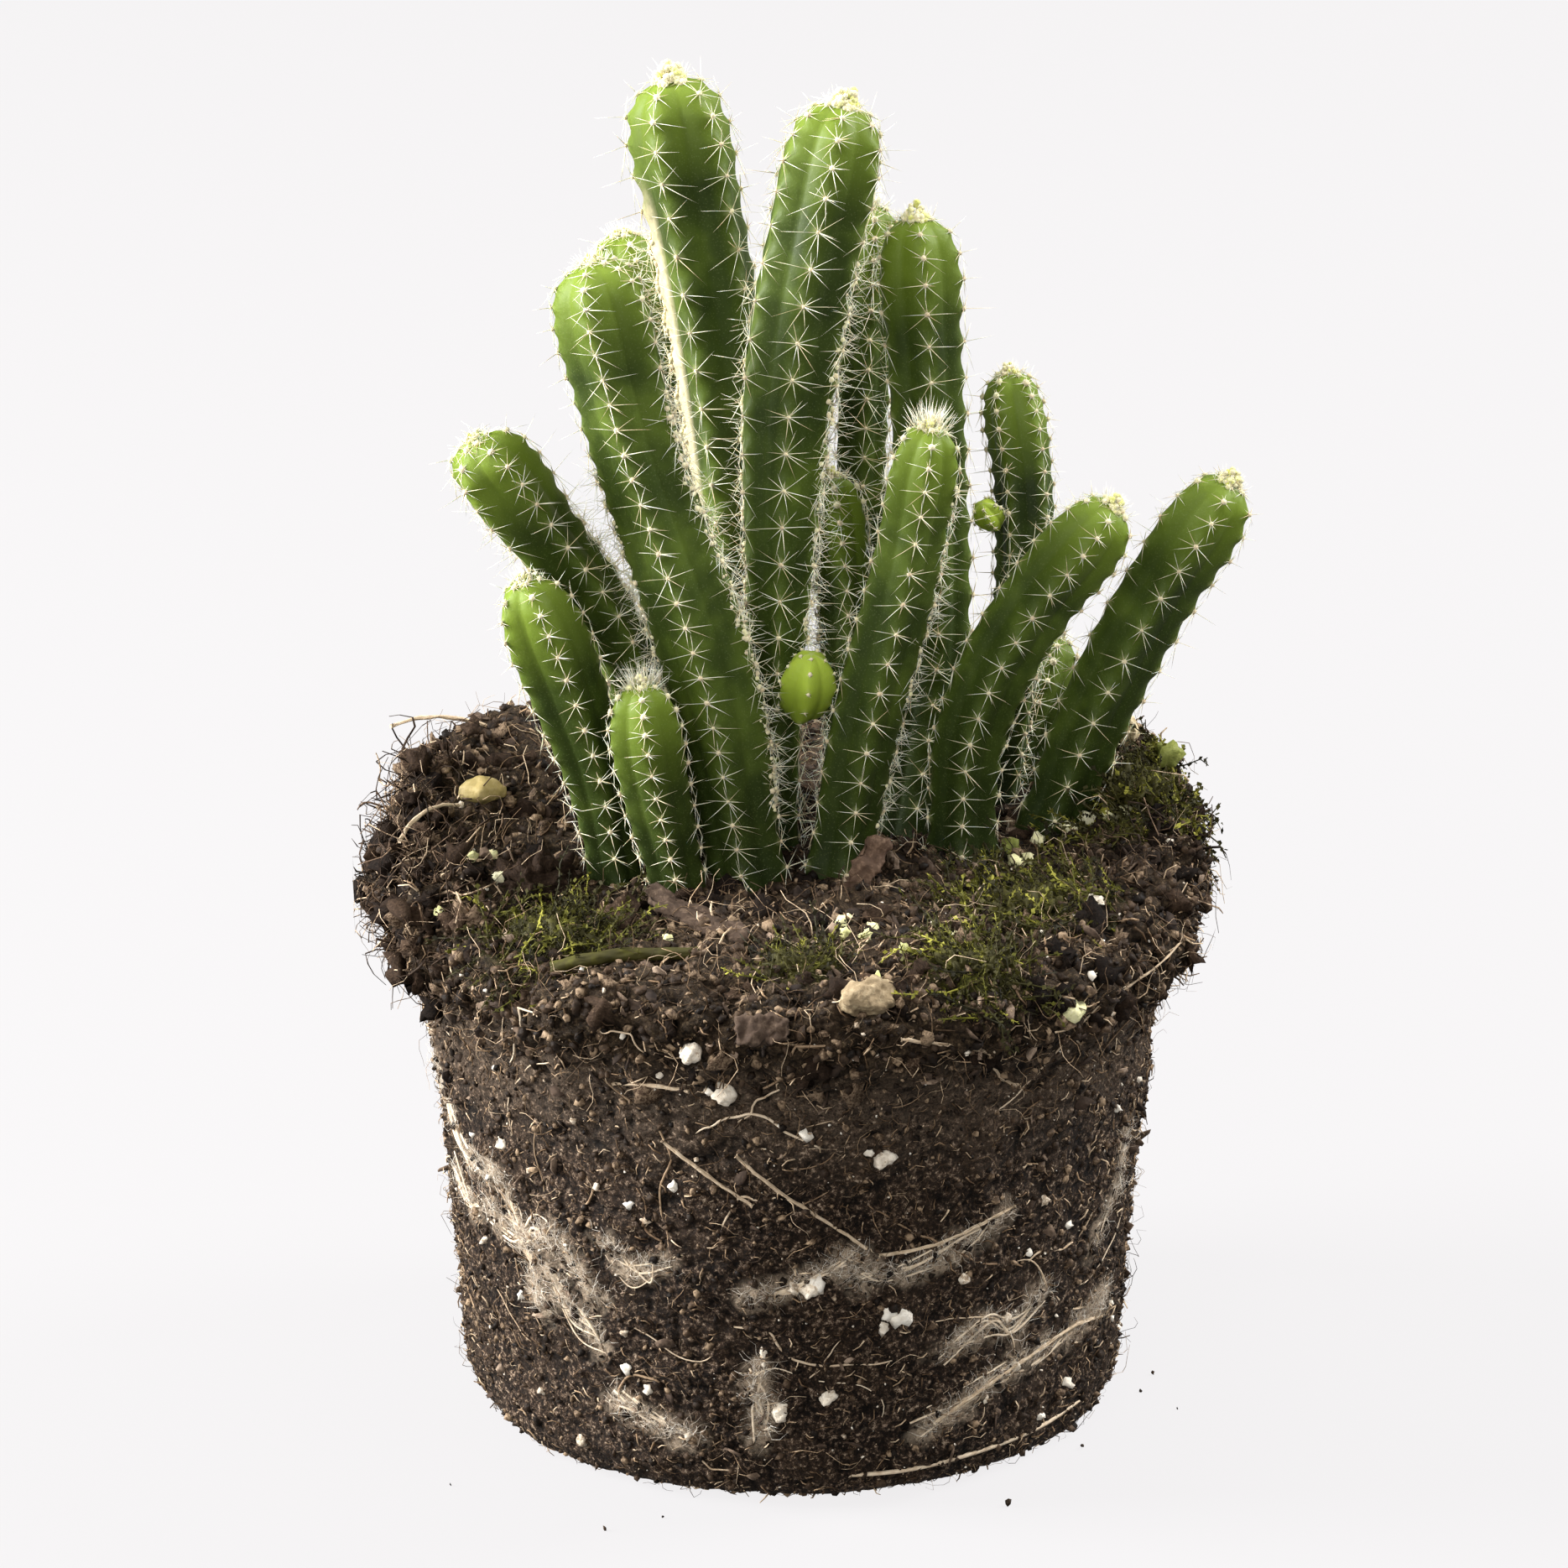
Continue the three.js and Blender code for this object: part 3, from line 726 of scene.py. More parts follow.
def areole_frames(stem):
    """Place, outward, onward and across of each areole above the soil, and its nearness to the tip."""
    along = np.concatenate(stem.areoles)
    rib = np.concatenate([np.full(len(a), r) for r, a in enumerate(stem.areoles)])
    turn = rib / stem.ribs
    keep = along > 2 * MM
    along, turn = along[keep], turn[keep]
    place = stem.point(along, turn)[0]
    onward = unit(stem.point(np.minimum(along + AREOLE_STEP, stem.length), turn)[0]
                  - stem.point(along - AREOLE_STEP, turn)[0])
    across = unit(stem.point(along, turn + 0.01)[0] - stem.point(along, turn - 0.01)[0])
    out = unit(np.cross(across, onward))
    centre = between(stem.centres, stem.knots, along)
    out *= np.sign(np.sum(out * (place - centre), axis=1))[:, None]
    above = place[:, 2] > SOIL_LEVEL
    young = np.clip(1 - (stem.length - along) / (12 * MM), 0, 1)
    return place[above], out[above], onward[above], across[above], young[above]

print("areoles:", sum(len(areole_frames(stem)[0]) for stem in stems.values()))

# %% A star of needles
NEEDLE_WIDTH = 0.07 * MM        # half the width of a needle at its foot
NEEDLE_GROWTH = 1.2             # all needles against the lengths in GROWTH
STANDING = 58                   # lift in degrees of the one needle that stands out
SIDE_LIFT, SIDE_DROP = 11, 17   # needles along the rib lift a little, those across it dip over the flanks

def star_of_needles(stem):
    place, out, onward, across, young = areole_frames(stem)
    count = stem.spines + 1
    pick = np.repeat(np.arange(len(place)), count)
    slot = np.tile(np.arange(count), len(place))
    angle = 2 * math.pi * (slot / stem.spines) + dice.normal(0, 0.16, len(pick))
    flare = SIDE_LIFT - SIDE_DROP * np.abs(np.cos(angle))
    lift = np.radians(np.where(slot == stem.spines, STANDING, flare) + dice.normal(0, 7, len(pick)))
    flat = np.cos(angle)[:, None] * across[pick] + np.sin(angle)[:, None] * onward[pick]
    ups = np.cos(lift)[:, None] * flat + np.sin(lift)[:, None] * out[pick]
    length = NEEDLE_GROWTH * stem.spine_length * MM * dice.uniform(0.5, 1.15, len(pick))
    length *= (1 - 0.45 * young[pick]) * (1 - 0.35 * np.maximum(0, np.sin(angle)))
    width = NEEDLE_WIDTH * dice.uniform(0.75, 1.1, len(pick))
    root = place[pick] + out[pick] * 0.1 * MM
    frames = frames_towards(root, ups, length, width, any_turn(len(pick)))
    return frames, dice.uniform(0, 1, len(pick))

print("needle width in mm:", 2 * NEEDLE_WIDTH / MM)

# %% Tufts on the growing points
def tip_tuft(stem, hairs, length):
    """Short bristles that stand on the growing point."""
    tip = stem.point(np.array([stem.length - 0.2 * MM]), np.array([0.0]))[0][0]
    axis = unit(stem.centres[-1] - stem.centres[-4])
    turn = dice.uniform(0, 1, hairs)
    start = stem.point(stem.length - dice.uniform(0.2, 2.4, hairs) * MM, turn)[0]
    spread = unit(start - (tip - axis * 3.2 * MM)) + dice.normal(0, 0.16, (hairs, 3))
    size = length * MM * dice.uniform(0.5, 1.1, hairs)
    width = NEEDLE_WIDTH * dice.uniform(0.6, 0.9, hairs)
    frames = frames_towards(start, spread, size, width, any_turn(hairs))
    return frames, dice.uniform(0.4, 1, hairs)

TUFTS = {
    # stem: bristles on the growing point, their length in mm, lumps of wool, width of the wool in mm
    "stem_tall_left": (60, 2.4, 130, 1.6), "stem_tall_centre": (60, 2.2, 120, 1.55),
    "stem_right_tuft": (130, 4.0, 30, 1.0), "stem_front_small": (120, 3.6, 24, 0.9),
    "stem_right_far": (50, 2.0, 60, 1.25), "stem_right_bent": (60, 2.2, 50, 1.1),
    "stem_right_tall": (50, 2.2, 70, 1.3), "stem_left_far": (40, 1.8, 20, 0.8),
    "stem_right_small": (50, 2.0, 36, 0.95), "stem_back_slim": (90, 3.0, 20, 0.8),
}
PLAIN_TUFT = (45, 2.2, 30, 0.9)

print("stems with a tuft of their own:", len(TUFTS))

# %% Spine material
def spine_material():
    paint = Paint("spine", Roughness=0.42, Subsurface_Weight=0.15, Subsurface_Scale=0.001)
    colour = paint.ramp(paint.attribute("tone"), (0, (0.72, 0.56, 0.32)), (0.25, (0.93, 0.84, 0.58)),
                        (1, (0.99, 0.95, 0.78)))
    return paint.done(Base_Color=colour)

def wool_material():
    paint = Paint("areole_wool", Roughness=1.0, Sheen_Weight=0.6, Sheen_Roughness=0.5)
    colour = paint.ramp(paint.attribute("tone"), (0, (0.5, 0.36, 0.19)), (0.35, (0.82, 0.69, 0.44)),
                        (0.65, (0.9, 0.84, 0.5)), (1, (0.72, 0.74, 0.16)))
    bump = paint.bump(paint.noise(6000, 3, 0.7), 0.0002, 0.9)
    return paint.done(Base_Color=colour, Normal=bump)

spine_finish = spine_material()
wool_finish = wool_material()

print("materials:", spine_finish.name, wool_finish.name)

# %% [markdown]
# ## Felted ribs
# Where two stems stand close, old bristles and wool from both ribs mat together into a pale felt. Drawing
# it as a texture would lose its loose outline, so bristles are set at random places along chosen ribs, in
# between those of the areoles, and small lumps of wool are scattered along the same stretches.

# %% Felted ribs
FELTED = [
    # stem, side of the rib (-1 left, 1 right), from and to height in mm, loose bristles, lumps of wool
    ("stem_tall_left", -1, 98, 168, 420, 520), ("stem_tall_left", 1, 104, 150, 260, 60),
    ("stem_left_far", 1, 84, 132, 520, 50), ("stem_left_far", -1, 100, 134, 160, 20),
    ("stem_head_left", -1, 100, 142, 260, 50), ("stem_head_left", 1, 90, 150, 300, 110),
    ("stem_tall_centre", 1, 112, 168, 320, 50), ("stem_tall_centre", -1, 100, 150, 200, 90),
    ("stem_right_tuft", 1, 88, 140, 220, 30), ("stem_inner_short", -1, 96, 132, 240, 40),
]

def spots_on_rib(stem, side, low, high, count):
    """Random places along one rib between two heights, with their outward directions."""
    along = np.interp(dice.uniform(low, high, count), stem.centres[:, 2] / MM, stem.knots)
    turn = side_rib(stem.rails, side) / stem.ribs + dice.normal(0, 0.012, count)
    place = stem.point(along, turn)[0]
    return place, unit(place - between(stem.centres, stem.knots, along))

def loose_bristles(stem, side, low, high, count):
    place, out = spots_on_rib(stem, side, low, high, count)
    ups = out * 0.45 + dice.normal(0, 0.7, (count, 3))
    size = dice.uniform(1.8, 5.2, count) * MM
    width = NEEDLE_WIDTH * dice.uniform(0.6, 0.9, count)
    frames = frames_towards(place, ups, size, width, any_turn(count))
    return frames, dice.uniform(0.3, 1, count)

def rib_wool(stem, side, low, high, count):
    place, out = spots_on_rib(stem, side, low, high, count)
    size = dice.uniform(0.2, 0.5, count) * MM
    frames = frames_towards(place + out * 0.1 * MM, out, size * 0.8, size, any_turn(count))
    return frames, dice.uniform(0.3, 0.7, count)

for node, stem in stems.items():
    sets = [star_of_needles(stem)]
    if node in stem_nodes:
        sets.append(tip_tuft(stem, *TUFTS.get(node, PLAIN_TUFT)[:2]))
    sets += [loose_bristles(stem, *felt[1:5]) for felt in FELTED if felt[0] == node]
    frames, tones = [np.concatenate(column) for column in zip(*sets)]
    picks = dice.integers(0, len(needles), len(frames))
    piece = lay_copies("spines_" + node, needles, frames, picks, tones, spine_finish)
    seat(piece, "spine")
    print(node, "needles:", len(frames), "faces:", len(piece.data.polygons))

# %% Wool
def wool_frames(stem):
    place, out, onward, across, young = areole_frames(stem)
    size = (0.2 if stem.node in bud_nodes else 0.36) * MM * dice.uniform(0.8, 1.25, len(place))
    size *= 1 + 0.5 * young
    pad = frames_towards(place + out * 0.12 * MM, out, size * 0.75, size, any_turn(len(place)))
    return pad, 0.15 + 0.35 * dice.uniform(0, 1, len(place)) + 0.3 * young

def tip_wool(stem, count, width):
    """Lumps of pale green wool heaped in a small dome on the growing point."""
    share = np.sqrt(dice.uniform(0, 1, count))
    start = stem.point(stem.length - share * 1.35 * width * MM, dice.uniform(0, 1, count))[0]
    axis = unit(stem.centres[-1] - stem.centres[-4])
    lift = dice.uniform(0, 1, count) * 1.7 * width * (1 - share**2) * MM
    size = dice.uniform(0.22, 0.42, count) * width * MM
    frames = frames_towards(start + axis * lift[:, None], dice.normal(0, 1, (count, 3)), size, size,
                            any_turn(count))
    return frames, dice.uniform(0.45, 1, count)

wool_sets = [wool_frames(stem) for stem in stems.values()]
wool_sets += [tip_wool(stems[node], *TUFTS.get(node, PLAIN_TUFT)[2:]) for node in stem_nodes]
wool_sets += [rib_wool(stems[node], *place, lumps) for node, *place, _, lumps in FELTED]
wool = np.concatenate([frames for frames, _ in wool_sets])
wool_tones = np.concatenate([tones for _, tones in wool_sets])
piece = lay_copies("areole_wool", pads, wool, dice.integers(0, len(pads), len(wool)), wool_tones, wool_finish)
seat(piece, "wool")
print("wool pads:", len(wool))

# %% [markdown]
# ## The form of the root ball
# The soil kept the form of the pot: a tapered wall, and above it a thick ragged collar where it swelled
# over the rim. Rays are shot from a point inside the CAD ball, and the last surface that each ray meets is
# kept. The CAD ball has a pocket for every stem and grain, so the readings are closed first: a wide maximum
# followed by a wide minimum fills the narrow pockets and leaves the rest as it was. A little blur takes
# away the CAD facets.

# %% Distance map of the root ball
BALL_MIDDLE = np.array([0, 0, 45 * MM])
MAP_LON = 360
MAP_LAT = 180
POCKET_REACH = 6
CRACK_REACH = 3
POCKETS_ABOVE = math.radians(28)
RAY_SKIP = 0.05 * MM

def last_hit(heading):
    """Distance from the ball's middle to the last surface along a ray."""
    heading = Vector(heading)
    travelled = 0
    while True:
        hit = ball_tree.ray_cast(Vector(BALL_MIDDLE) + heading * travelled, heading)
        if hit[0] is None:
            return travelled
        travelled += hit[3] + RAY_SKIP

def headings(lon, lat):
    """Unit vectors for longitudes and latitudes in radians."""
    return np.stack([np.cos(lat) * np.cos(lon), np.cos(lat) * np.sin(lon), np.sin(lat)], axis=-1)

def widest(values, reach, choose):
    """Takes the max or min over a square window; the map joins up round the ball."""
    rows = np.pad(values, ((reach, reach), (0, 0)), "edge")
    rows = choose([rows[k:k + len(values)] for k in range(2 * reach + 1)], axis=0)
    turns = np.pad(rows, ((0, 0), (reach, reach)), "wrap")
    return choose([turns[:, k:k + values.shape[1]] for k in range(2 * reach + 1)], axis=0)

def closed(values, reach):
    return widest(widest(values, reach, np.max), reach, np.min)

def blurred(values, reach, axis):
    """Gaussian blur along one axis of the map."""
    around = [(0, 0), (0, 0)]
    around[axis] = (2 * reach, 2 * reach)
    padded = np.pad(values, around, "wrap" if axis else "edge")
    weights = np.exp(-0.5 * (np.arange(-2 * reach, 2 * reach + 1) / reach) ** 2)
    count = values.shape[axis]
    parts = [w * np.take(padded, np.arange(k, k + count), axis) for k, w in enumerate(weights)]
    return sum(parts) / weights.sum()

# %% Read the distance map
map_lat = (np.arange(MAP_LAT) + 0.5) / MAP_LAT * math.pi - math.pi / 2
map_lon = np.arange(MAP_LON) / MAP_LON * 2 * math.pi
ball_copy = merged_copy("root_ball")
ball_tree = BVHTree.FromBMesh(ball_copy)
ball_copy.free()
rays = headings(*np.meshgrid(map_lon, map_lat))
reach_map = np.array([[last_hit(ray) for ray in row] for row in rays])
has_pockets = (map_lat > POCKETS_ABOVE)[:, None]
reach_map = np.where(has_pockets, closed(reach_map, POCKET_REACH), closed(reach_map, CRACK_REACH))
reach_map = blurred(blurred(reach_map, 1, 0), 3, 1)
print("the ball reaches", round(reach_map.min() / MM), "to", round(reach_map.max() / MM), "mm")

# %% Look up the ball's surface
SLOPE_STEP = 0.02           # radians between the points that give a slope

def ball_reach(lon, lat):
    """Distance from the ball's middle to its surface, read between the map's rows and columns."""
    x = (lon % (2 * math.pi)) / (2 * math.pi) * MAP_LON
    y = np.clip((lat + math.pi / 2) / math.pi * MAP_LAT - 0.5, 0, MAP_LAT - 1.001)
    i = np.floor(x).astype(int) % MAP_LON
    j = np.floor(y).astype(int)
    u = x - np.floor(x)
    v = y - j
    left = reach_map[j, i] * (1 - v) + reach_map[j + 1, i] * v
    right = reach_map[j, (i + 1) % MAP_LON] * (1 - v) + reach_map[j + 1, (i + 1) % MAP_LON] * v
    return left * (1 - u) + right * u

def ball_place(lon, lat):
    return BALL_MIDDLE + headings(lon, lat) * ball_reach(lon, lat)[..., None]

def ball_outward(lon, lat):
    """Direction square to the smooth surface."""
    lat = np.clip(lat, SLOPE_STEP - math.pi / 2, math.pi / 2 - SLOPE_STEP)
    east = ball_place(lon + SLOPE_STEP, lat) - ball_place(lon - SLOPE_STEP, lat)
    north = ball_place(lon, lat + SLOPE_STEP) - ball_place(lon, lat - SLOPE_STEP)
    return unit(np.cross(east, north))

FRONT = (np.array([-math.pi / 2]), np.array([0.0]))
print("the wall's front in mm:", np.round(ball_place(*FRONT)[0] / MM, 1))

# %% [markdown]
# ## The surface of the soil
# Peat isn't smooth: it is a mass of clods, crumbs and holes. On the wall the pot has pressed it nearly
# flat, so the relief is fine. On the collar and on top it is loose and rough. The relief is real geometry,
# built from several layers of noise: wide swellings, rounded clods from a cell pattern, and fine crumbs.
# The wall and the top are two halves of a sphere that share one ring of points, so each can be fine and no
# gap shows.

# %% Relief of the soil
SWELL_SIZE, COARSE_CLOD, MIDDLING_CLOD, FINE_CLOD = 11 * MM, 4.4 * MM, 2.0 * MM, 1.0 * MM
WARP = 1.2 * MM
CLOD_HASH = np.array([[127.1, 269.5, 113.5], [311.7, 183.3, 271.9], [74.7, 246.1, 124.6]])

def clods(places, size):
    """Rounded bumps of one size: 1 on a bump and 0 in the cracks between them."""
    spots = places / size
    cells = np.floor(spots)
    nearest = np.full(len(spots), 9.0)
    for shift in np.ndindex(3, 3, 3):
        cell = cells + np.array(shift) - 1
        hashed = np.sin(cell @ CLOD_HASH) * 43758.5453
        centre = cell + hashed - np.floor(hashed)
        nearest = np.minimum(nearest, ((spots - centre) ** 2).sum(axis=1))
    return 1 - np.minimum(1, 1.25 * np.sqrt(nearest)) ** 2

def swells(places, size, octaves=3, seed=0.0):
    """Cloudy noise, roughly -1 to 1."""
    shift = Vector((seed, seed, seed))
    return np.array([noise.fractal(Vector(p) + shift, 1.0, 2.0, octaves) for p in places / size])

def smoothstep(values, low, high):
    t = np.clip((values - low) / (high - low), 0, 1)
    return t * t * (3 - 2 * t)

print("clod sizes in mm:", COARSE_CLOD / MM, MIDDLING_CLOD / MM, FINE_CLOD / MM)

# %% Torn rims
TORN_RIMS = [
    # angle from the front in degrees, half width in degrees, lowest height in mm, depth of the tears in mm
    (-88, 44, 64, 3.4), (78, 22, 78, 2.2), (180, 50, 70, 2.0),
]

def torn(places):
    """Depth in mm to which the rim is torn at each place."""
    turn = np.degrees(np.arctan2(places[:, 0], -places[:, 1]))
    depth = np.zeros(len(places))
    for angle, spread, low, most in TORN_RIMS:
        away = np.abs((turn - angle + 180) % 360 - 180) / spread
        outer = smoothstep(np.hypot(places[:, 0], places[:, 1]) / MM, 44, 52)
        reach = smoothstep(places[:, 2] / MM, low, low + 8) * np.clip(1.4 - 1.4 * away, 0, 1) * outer
        depth = np.maximum(depth, most * reach)
    return depth

print("torn stretches of rim:", len(TORN_RIMS))

# %% Layers of relief
def soil_relief(places):
    """Height of the relief in metres, looseness (0 on the wall, 1 on top) and depth in a hole (0 to 1) for
    painted shade.
    """
    z = places[:, 2] / MM
    loose = smoothstep(z, 62, 73)
    pressed = smoothstep(z, 4, 0.5)
    swell = swells(places, SWELL_SIZE)
    coarse = clods(places + swell[:, None] * WARP, COARSE_CLOD)
    middling = clods(places, MIDDLING_CLOD)
    fine = clods(places + 0.5, FINE_CLOD)
    wall = 0.5 * swell + 0.35 * coarse + 0.45 * middling + 0.3 * fine - 0.6
    top = 1.5 * swell + 1.8 * coarse + 0.9 * middling + 0.4 * fine - 1.8
    relief = (wall * (1 - loose) + top * loose) * (1 - 0.7 * pressed)
    tears = torn(places)
    ragged = np.flatnonzero(tears > 0)
    relief[ragged] += tears[ragged] * (1.1 * swells(places[ragged], 8 * MM, 3, 4.0) - 0.45)
    hole_shade = 1 - (0.3 * coarse + 0.4 * middling + 0.3 * fine)
    return relief * MM, loose, hole_shade

print("relief in front in mm:", np.round(soil_relief(ball_place(*FRONT))[0] / MM, 2))

# %% [markdown]
# ## Where hair and moss grow
# Root hair follows branching trails on the wall, and moss spreads round its cushions. Both are needed
# twice: as a tint in the peat's colour, and as a weight for laying the hairs and fronds. So they are
# described once, by a list of stops along each trail and by a spread round each cushion, and read as
# distances.

# %% Patches of root hair and moss
def on_wall(angle, z):
    """A place on the smooth wall; angle in degrees from the front towards the right, z in mm."""
    lon = math.radians(angle - 90)
    reach = np.hypot(*ball_place(np.array([lon]), np.array([0.0]))[0, :2])
    lat = math.atan2(z * MM - BALL_MIDDLE[2], reach)
    return ball_place(np.array([lon]), np.array([lat]))[0]

HAIR_TRAILS = [
    # (angle in degrees, height in mm) along each branching trail of root hair on the wall
    [(-79, 52), (-72, 46), (-66, 42), (-60, 42), (-55, 43)],
    [(-74, 36), (-66, 34), (-58, 37)],
    [(-58, 36), (-50, 34), (-44, 37), (-38, 33), (-34, 29)],
    [(-52, 40), (-49, 30), (-46, 24)],
    [(-44, 30), (-38, 24), (-34, 21)],
    [(-31, 38), (-27, 34), (-22, 36)],
    [(-8, 32), (-2, 33), (4, 36), (9, 39)],
    [(10, 36), (18, 35), (28, 38), (36, 42)],
    [(23, 8), (34, 13), (46, 16), (58, 17), (66, 19)],
    [(27, 21), (34, 24), (40, 22), (46, 26)],
    [(-6, 21), (-6, 15), (-5, 9)],
    [(60, 30), (66, 37), (70, 45)],
    [(-30, 12), (-24, 9), (-18, 8)],
    [(110, 20), (124, 28), (140, 26)],
    [(146, 45), (158, 41), (170, 39), (184, 33)],
    [(164, 40), (170, 31), (173, 24)],
    [(205, 18), (220, 22), (236, 17)],
    [(245, 44), (256, 38), (262, 30)],
]
hair_trails = [np.array([on_wall(*stop) for stop in trail]) for trail in HAIR_TRAILS]

def near_trails(places):
    """Distance in metres from each place to the nearest hair trail."""
    best = np.full(len(places), 1.0)
    for trail in hair_trails:
        for start, stop in zip(trail[:-1], trail[1:]):
            leg = stop - start
            share = np.clip((places - start) @ leg / (leg @ leg), 0, 1)
            gap = np.linalg.norm(places - start - share[:, None] * leg, axis=1)
            best = np.minimum(best, gap)
    return best

print("hair trails:", len(hair_trails))

# %% Spread of the moss
MOSS_SPREAD = {
    # CAD moss node: how far its growth spreads over the soil, in mm
    "moss_cushion_right": 9, "moss_patch_left": 12, "moss_patch_centre": 7, "moss_patch_middle": 14,
    "moss_patch_far": 15,
}

def near_moss(places):
    """1 in the middle of the moss, 0 outside its reach."""
    cover = np.zeros(len(places))
    for node, spread in MOSS_SPREAD.items():
        low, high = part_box(node)
        middle = np.array((low + high) / 2)
        cover = np.maximum(cover, 1 - np.linalg.norm(places - middle, axis=1) / (spread * MM))
    return np.clip(cover, 0, 1)

print("moss cushions and patches:", len(MOSS_SPREAD))

# %% The two halves of the ball
SEAM_LAT = math.radians(25)
BALL_AROUND = 560
BALL_ROWS = 168
FLAT_SHARE = 0.3
HAZE_REACH, HAZE_WAVE, LEAST_HAZE = 3.3, 2.6, 0.8
PROFILE_POINTS = 400

def even_latitudes(low, high):
    """Latitudes of the rows, evenly spaced along the profile, but with fewer rows on the flat bottom."""
    lats = np.linspace(low, high, PROFILE_POINTS)
    profiles = [ball_place(np.full(PROFILE_POINTS, lon), lats) for lon in np.arange(0, FULL_TURN, 0.5)]
    places = np.mean(profiles, axis=0)
    steps = np.linalg.norm(np.diff(places, axis=0), axis=1)
    steps[places[1:, 2] < 2 * MM] *= FLAT_SHARE
    travelled = np.concatenate([[0], np.cumsum(steps)])
    return np.interp(np.linspace(0, travelled[-1], BALL_ROWS + 1), travelled, lats)

def half_ball(name, low, high, material):
    """Rolls a fine grid into the part of the ball between two latitudes, one of them a pole."""
    bm = bmesh.new()
    bmesh.ops.create_grid(bm, x_segments=BALL_AROUND, y_segments=BALL_ROWS, size=1)
    grid = np.array([v.co for v in bm.verts])
    mesh = mesh_from(bm, name)
    lon = grid[:, 0] * math.pi
    row = (grid[:, 1] + 1) / 2 * BALL_ROWS
    lat = np.interp(row, np.arange(BALL_ROWS + 1), even_latitudes(low, high))
    smooth = ball_place(lon, lat)
    relief, loose, hole_shade = soil_relief(smooth)
    places = smooth + ball_outward(lon, lat) * relief[:, None]
    places[:, 2] = np.maximum(places[:, 2], 0)
    pole = np.abs(lat) > math.pi / 2 - 1e-6
    places[pole] = places[pole].mean(axis=0)
    reach = HAZE_REACH + HAZE_WAVE * swells(smooth, 5 * MM, 2, 8.0)
    haze = np.clip(1 - near_trails(smooth) / (np.maximum(reach, LEAST_HAZE) * MM), 0, 1)
    mesh.vertices.foreach_set("co", places.ravel())
    for title, values in (("loose", loose), ("hole_shade", hole_shade), ("haze", haze), ("moss", near_moss(smooth))):
        mark_points(mesh, title, values)
    bm = bmesh.new()
    bm.from_mesh(mesh)
    bmesh.ops.remove_doubles(bm, verts=bm.verts, dist=1e-4 * MM)
    bm.to_mesh(mesh)
    bm.free()
    return piece_of(mesh, name, material)

print("points in each half:", BALL_AROUND * BALL_ROWS)

# %% [markdown]
# ## The colour of peat
# Peat is dark brown on its crumbs, and its cracks are painted almost black as painted shade. Dust and dry
# fibres make the loose soil on top paler and greyer. The painted shade follows the same relief that the
# geometry has, through an attribute that says how deep in a hole each point lies. Green comes in where moss
# grows, and a pale haze along the root hairs.

# %% Peat material
def peat_material():
    paint = Paint("peat", Roughness=0.6, Specular_IOR_Level=0.13)
    broad = paint.noise(140, 4, 0.6)
    grit = paint.noise(1300, 6, 0.78)
    dust = paint.noise(3000, 2, 0.6)
    wall = paint.ramp(grit, (0.41, (0.005, 0.003, 0.002)), (0.51, (0.03, 0.018, 0.011)),
                      (0.57, (0.13, 0.083, 0.054)), (0.64, (0.55, 0.42, 0.3)))
    top = paint.ramp(grit, (0.38, (0.007, 0.004, 0.002)), (0.52, (0.04, 0.026, 0.014)),
                     (0.62, (0.12, 0.08, 0.045)), (0.74, (0.38, 0.29, 0.17)))
    level = paint.node("SeparateXYZ", "Z", Vector=paint.place)
    # paler band on the wall under the collar: pale dry soil, and painted light that lifts the collar's shadow
    dry_and_lit_band = paint.fit(level, 0.048, 0.064, 0, 0.55)
    dry_and_lit = paint.math("MULTIPLY", dry_and_lit_band, paint.fit(dust, 0.3, 0.6))
    wall = paint.mix(dry_and_lit, wall, (0.24, 0.175, 0.12))
    colour = paint.mix(paint.attribute("loose"), wall, top)
    colour = paint.mix(paint.fit(broad, 0.45, 0.75, 0, 0.4), colour, (0.075, 0.046, 0.027))
    # cracks darkened almost black by their depth: painted shade
    colour = paint.mix(paint.fit(paint.attribute("hole_shade"), 0.4, 0.85, 0, 0.92), colour, (0.003, 0.002, 0.0015))
    green = paint.ramp(dust, (0.35, (0.014, 0.016, 0.001)), (0.65, (0.085, 0.09, 0.008)))
    growth = paint.math("MULTIPLY", paint.fit(paint.attribute("moss"), 0.05, 0.5), paint.fit(broad, 0.3, 0.5))
    colour = paint.mix(paint.math("MULTIPLY", growth, 0.85), colour, green)
    veins = paint.noise(420, 6, 0.75, warp=1.5)
    haze = paint.math("MULTIPLY", paint.fit(paint.attribute("haze"), 0.05, 0.8), paint.fit(veins, 0.38, 0.58))
    colour = paint.mix(paint.math("MULTIPLY", haze, 0.8), colour, (0.66, 0.52, 0.37))
    relief = paint.bump(grit, 0.0008, 0.9)
    relief = paint.bump(dust, 0.0003, 0.7, Normal=relief)
    return paint.done(Base_Color=colour, Normal=relief)

peat = peat_material()
wall_piece = half_ball("root_ball_wall", -math.pi / 2, SEAM_LAT, peat)
top_piece = half_ball("root_ball_top", SEAM_LAT, math.pi / 2, peat)
seat(wall_piece, "soil", "root_ball")
seat(top_piece, "soil")
print("soil faces:", len(wall_piece.data.polygons) + len(top_piece.data.polygons))

# %% [markdown]
# ## Crumbs and clods
# Loose crumbs break up the outline of the soil and give it its grain. They are small lumpy balls of twenty
# faces, a few of eighty, laid over the ball's own faces. Each spot is drawn at random with a weight, so
# that crumbs crowd on the loose collar and stay thin on the pressed wall. Nothing is laid under the stems.

# %% Spots on the soil
def read_faces(mesh):
    """Centre, normal and area of every face."""
    count = len(mesh.polygons)
    centre, normal, area = np.empty(count * 3), np.empty(count * 3), np.empty(count)
    mesh.polygons.foreach_get("center", centre)
    mesh.polygons.foreach_get("normal", normal)
    mesh.polygons.foreach_get("area", area)
    return centre.reshape(-1, 3), normal.reshape(-1, 3), area

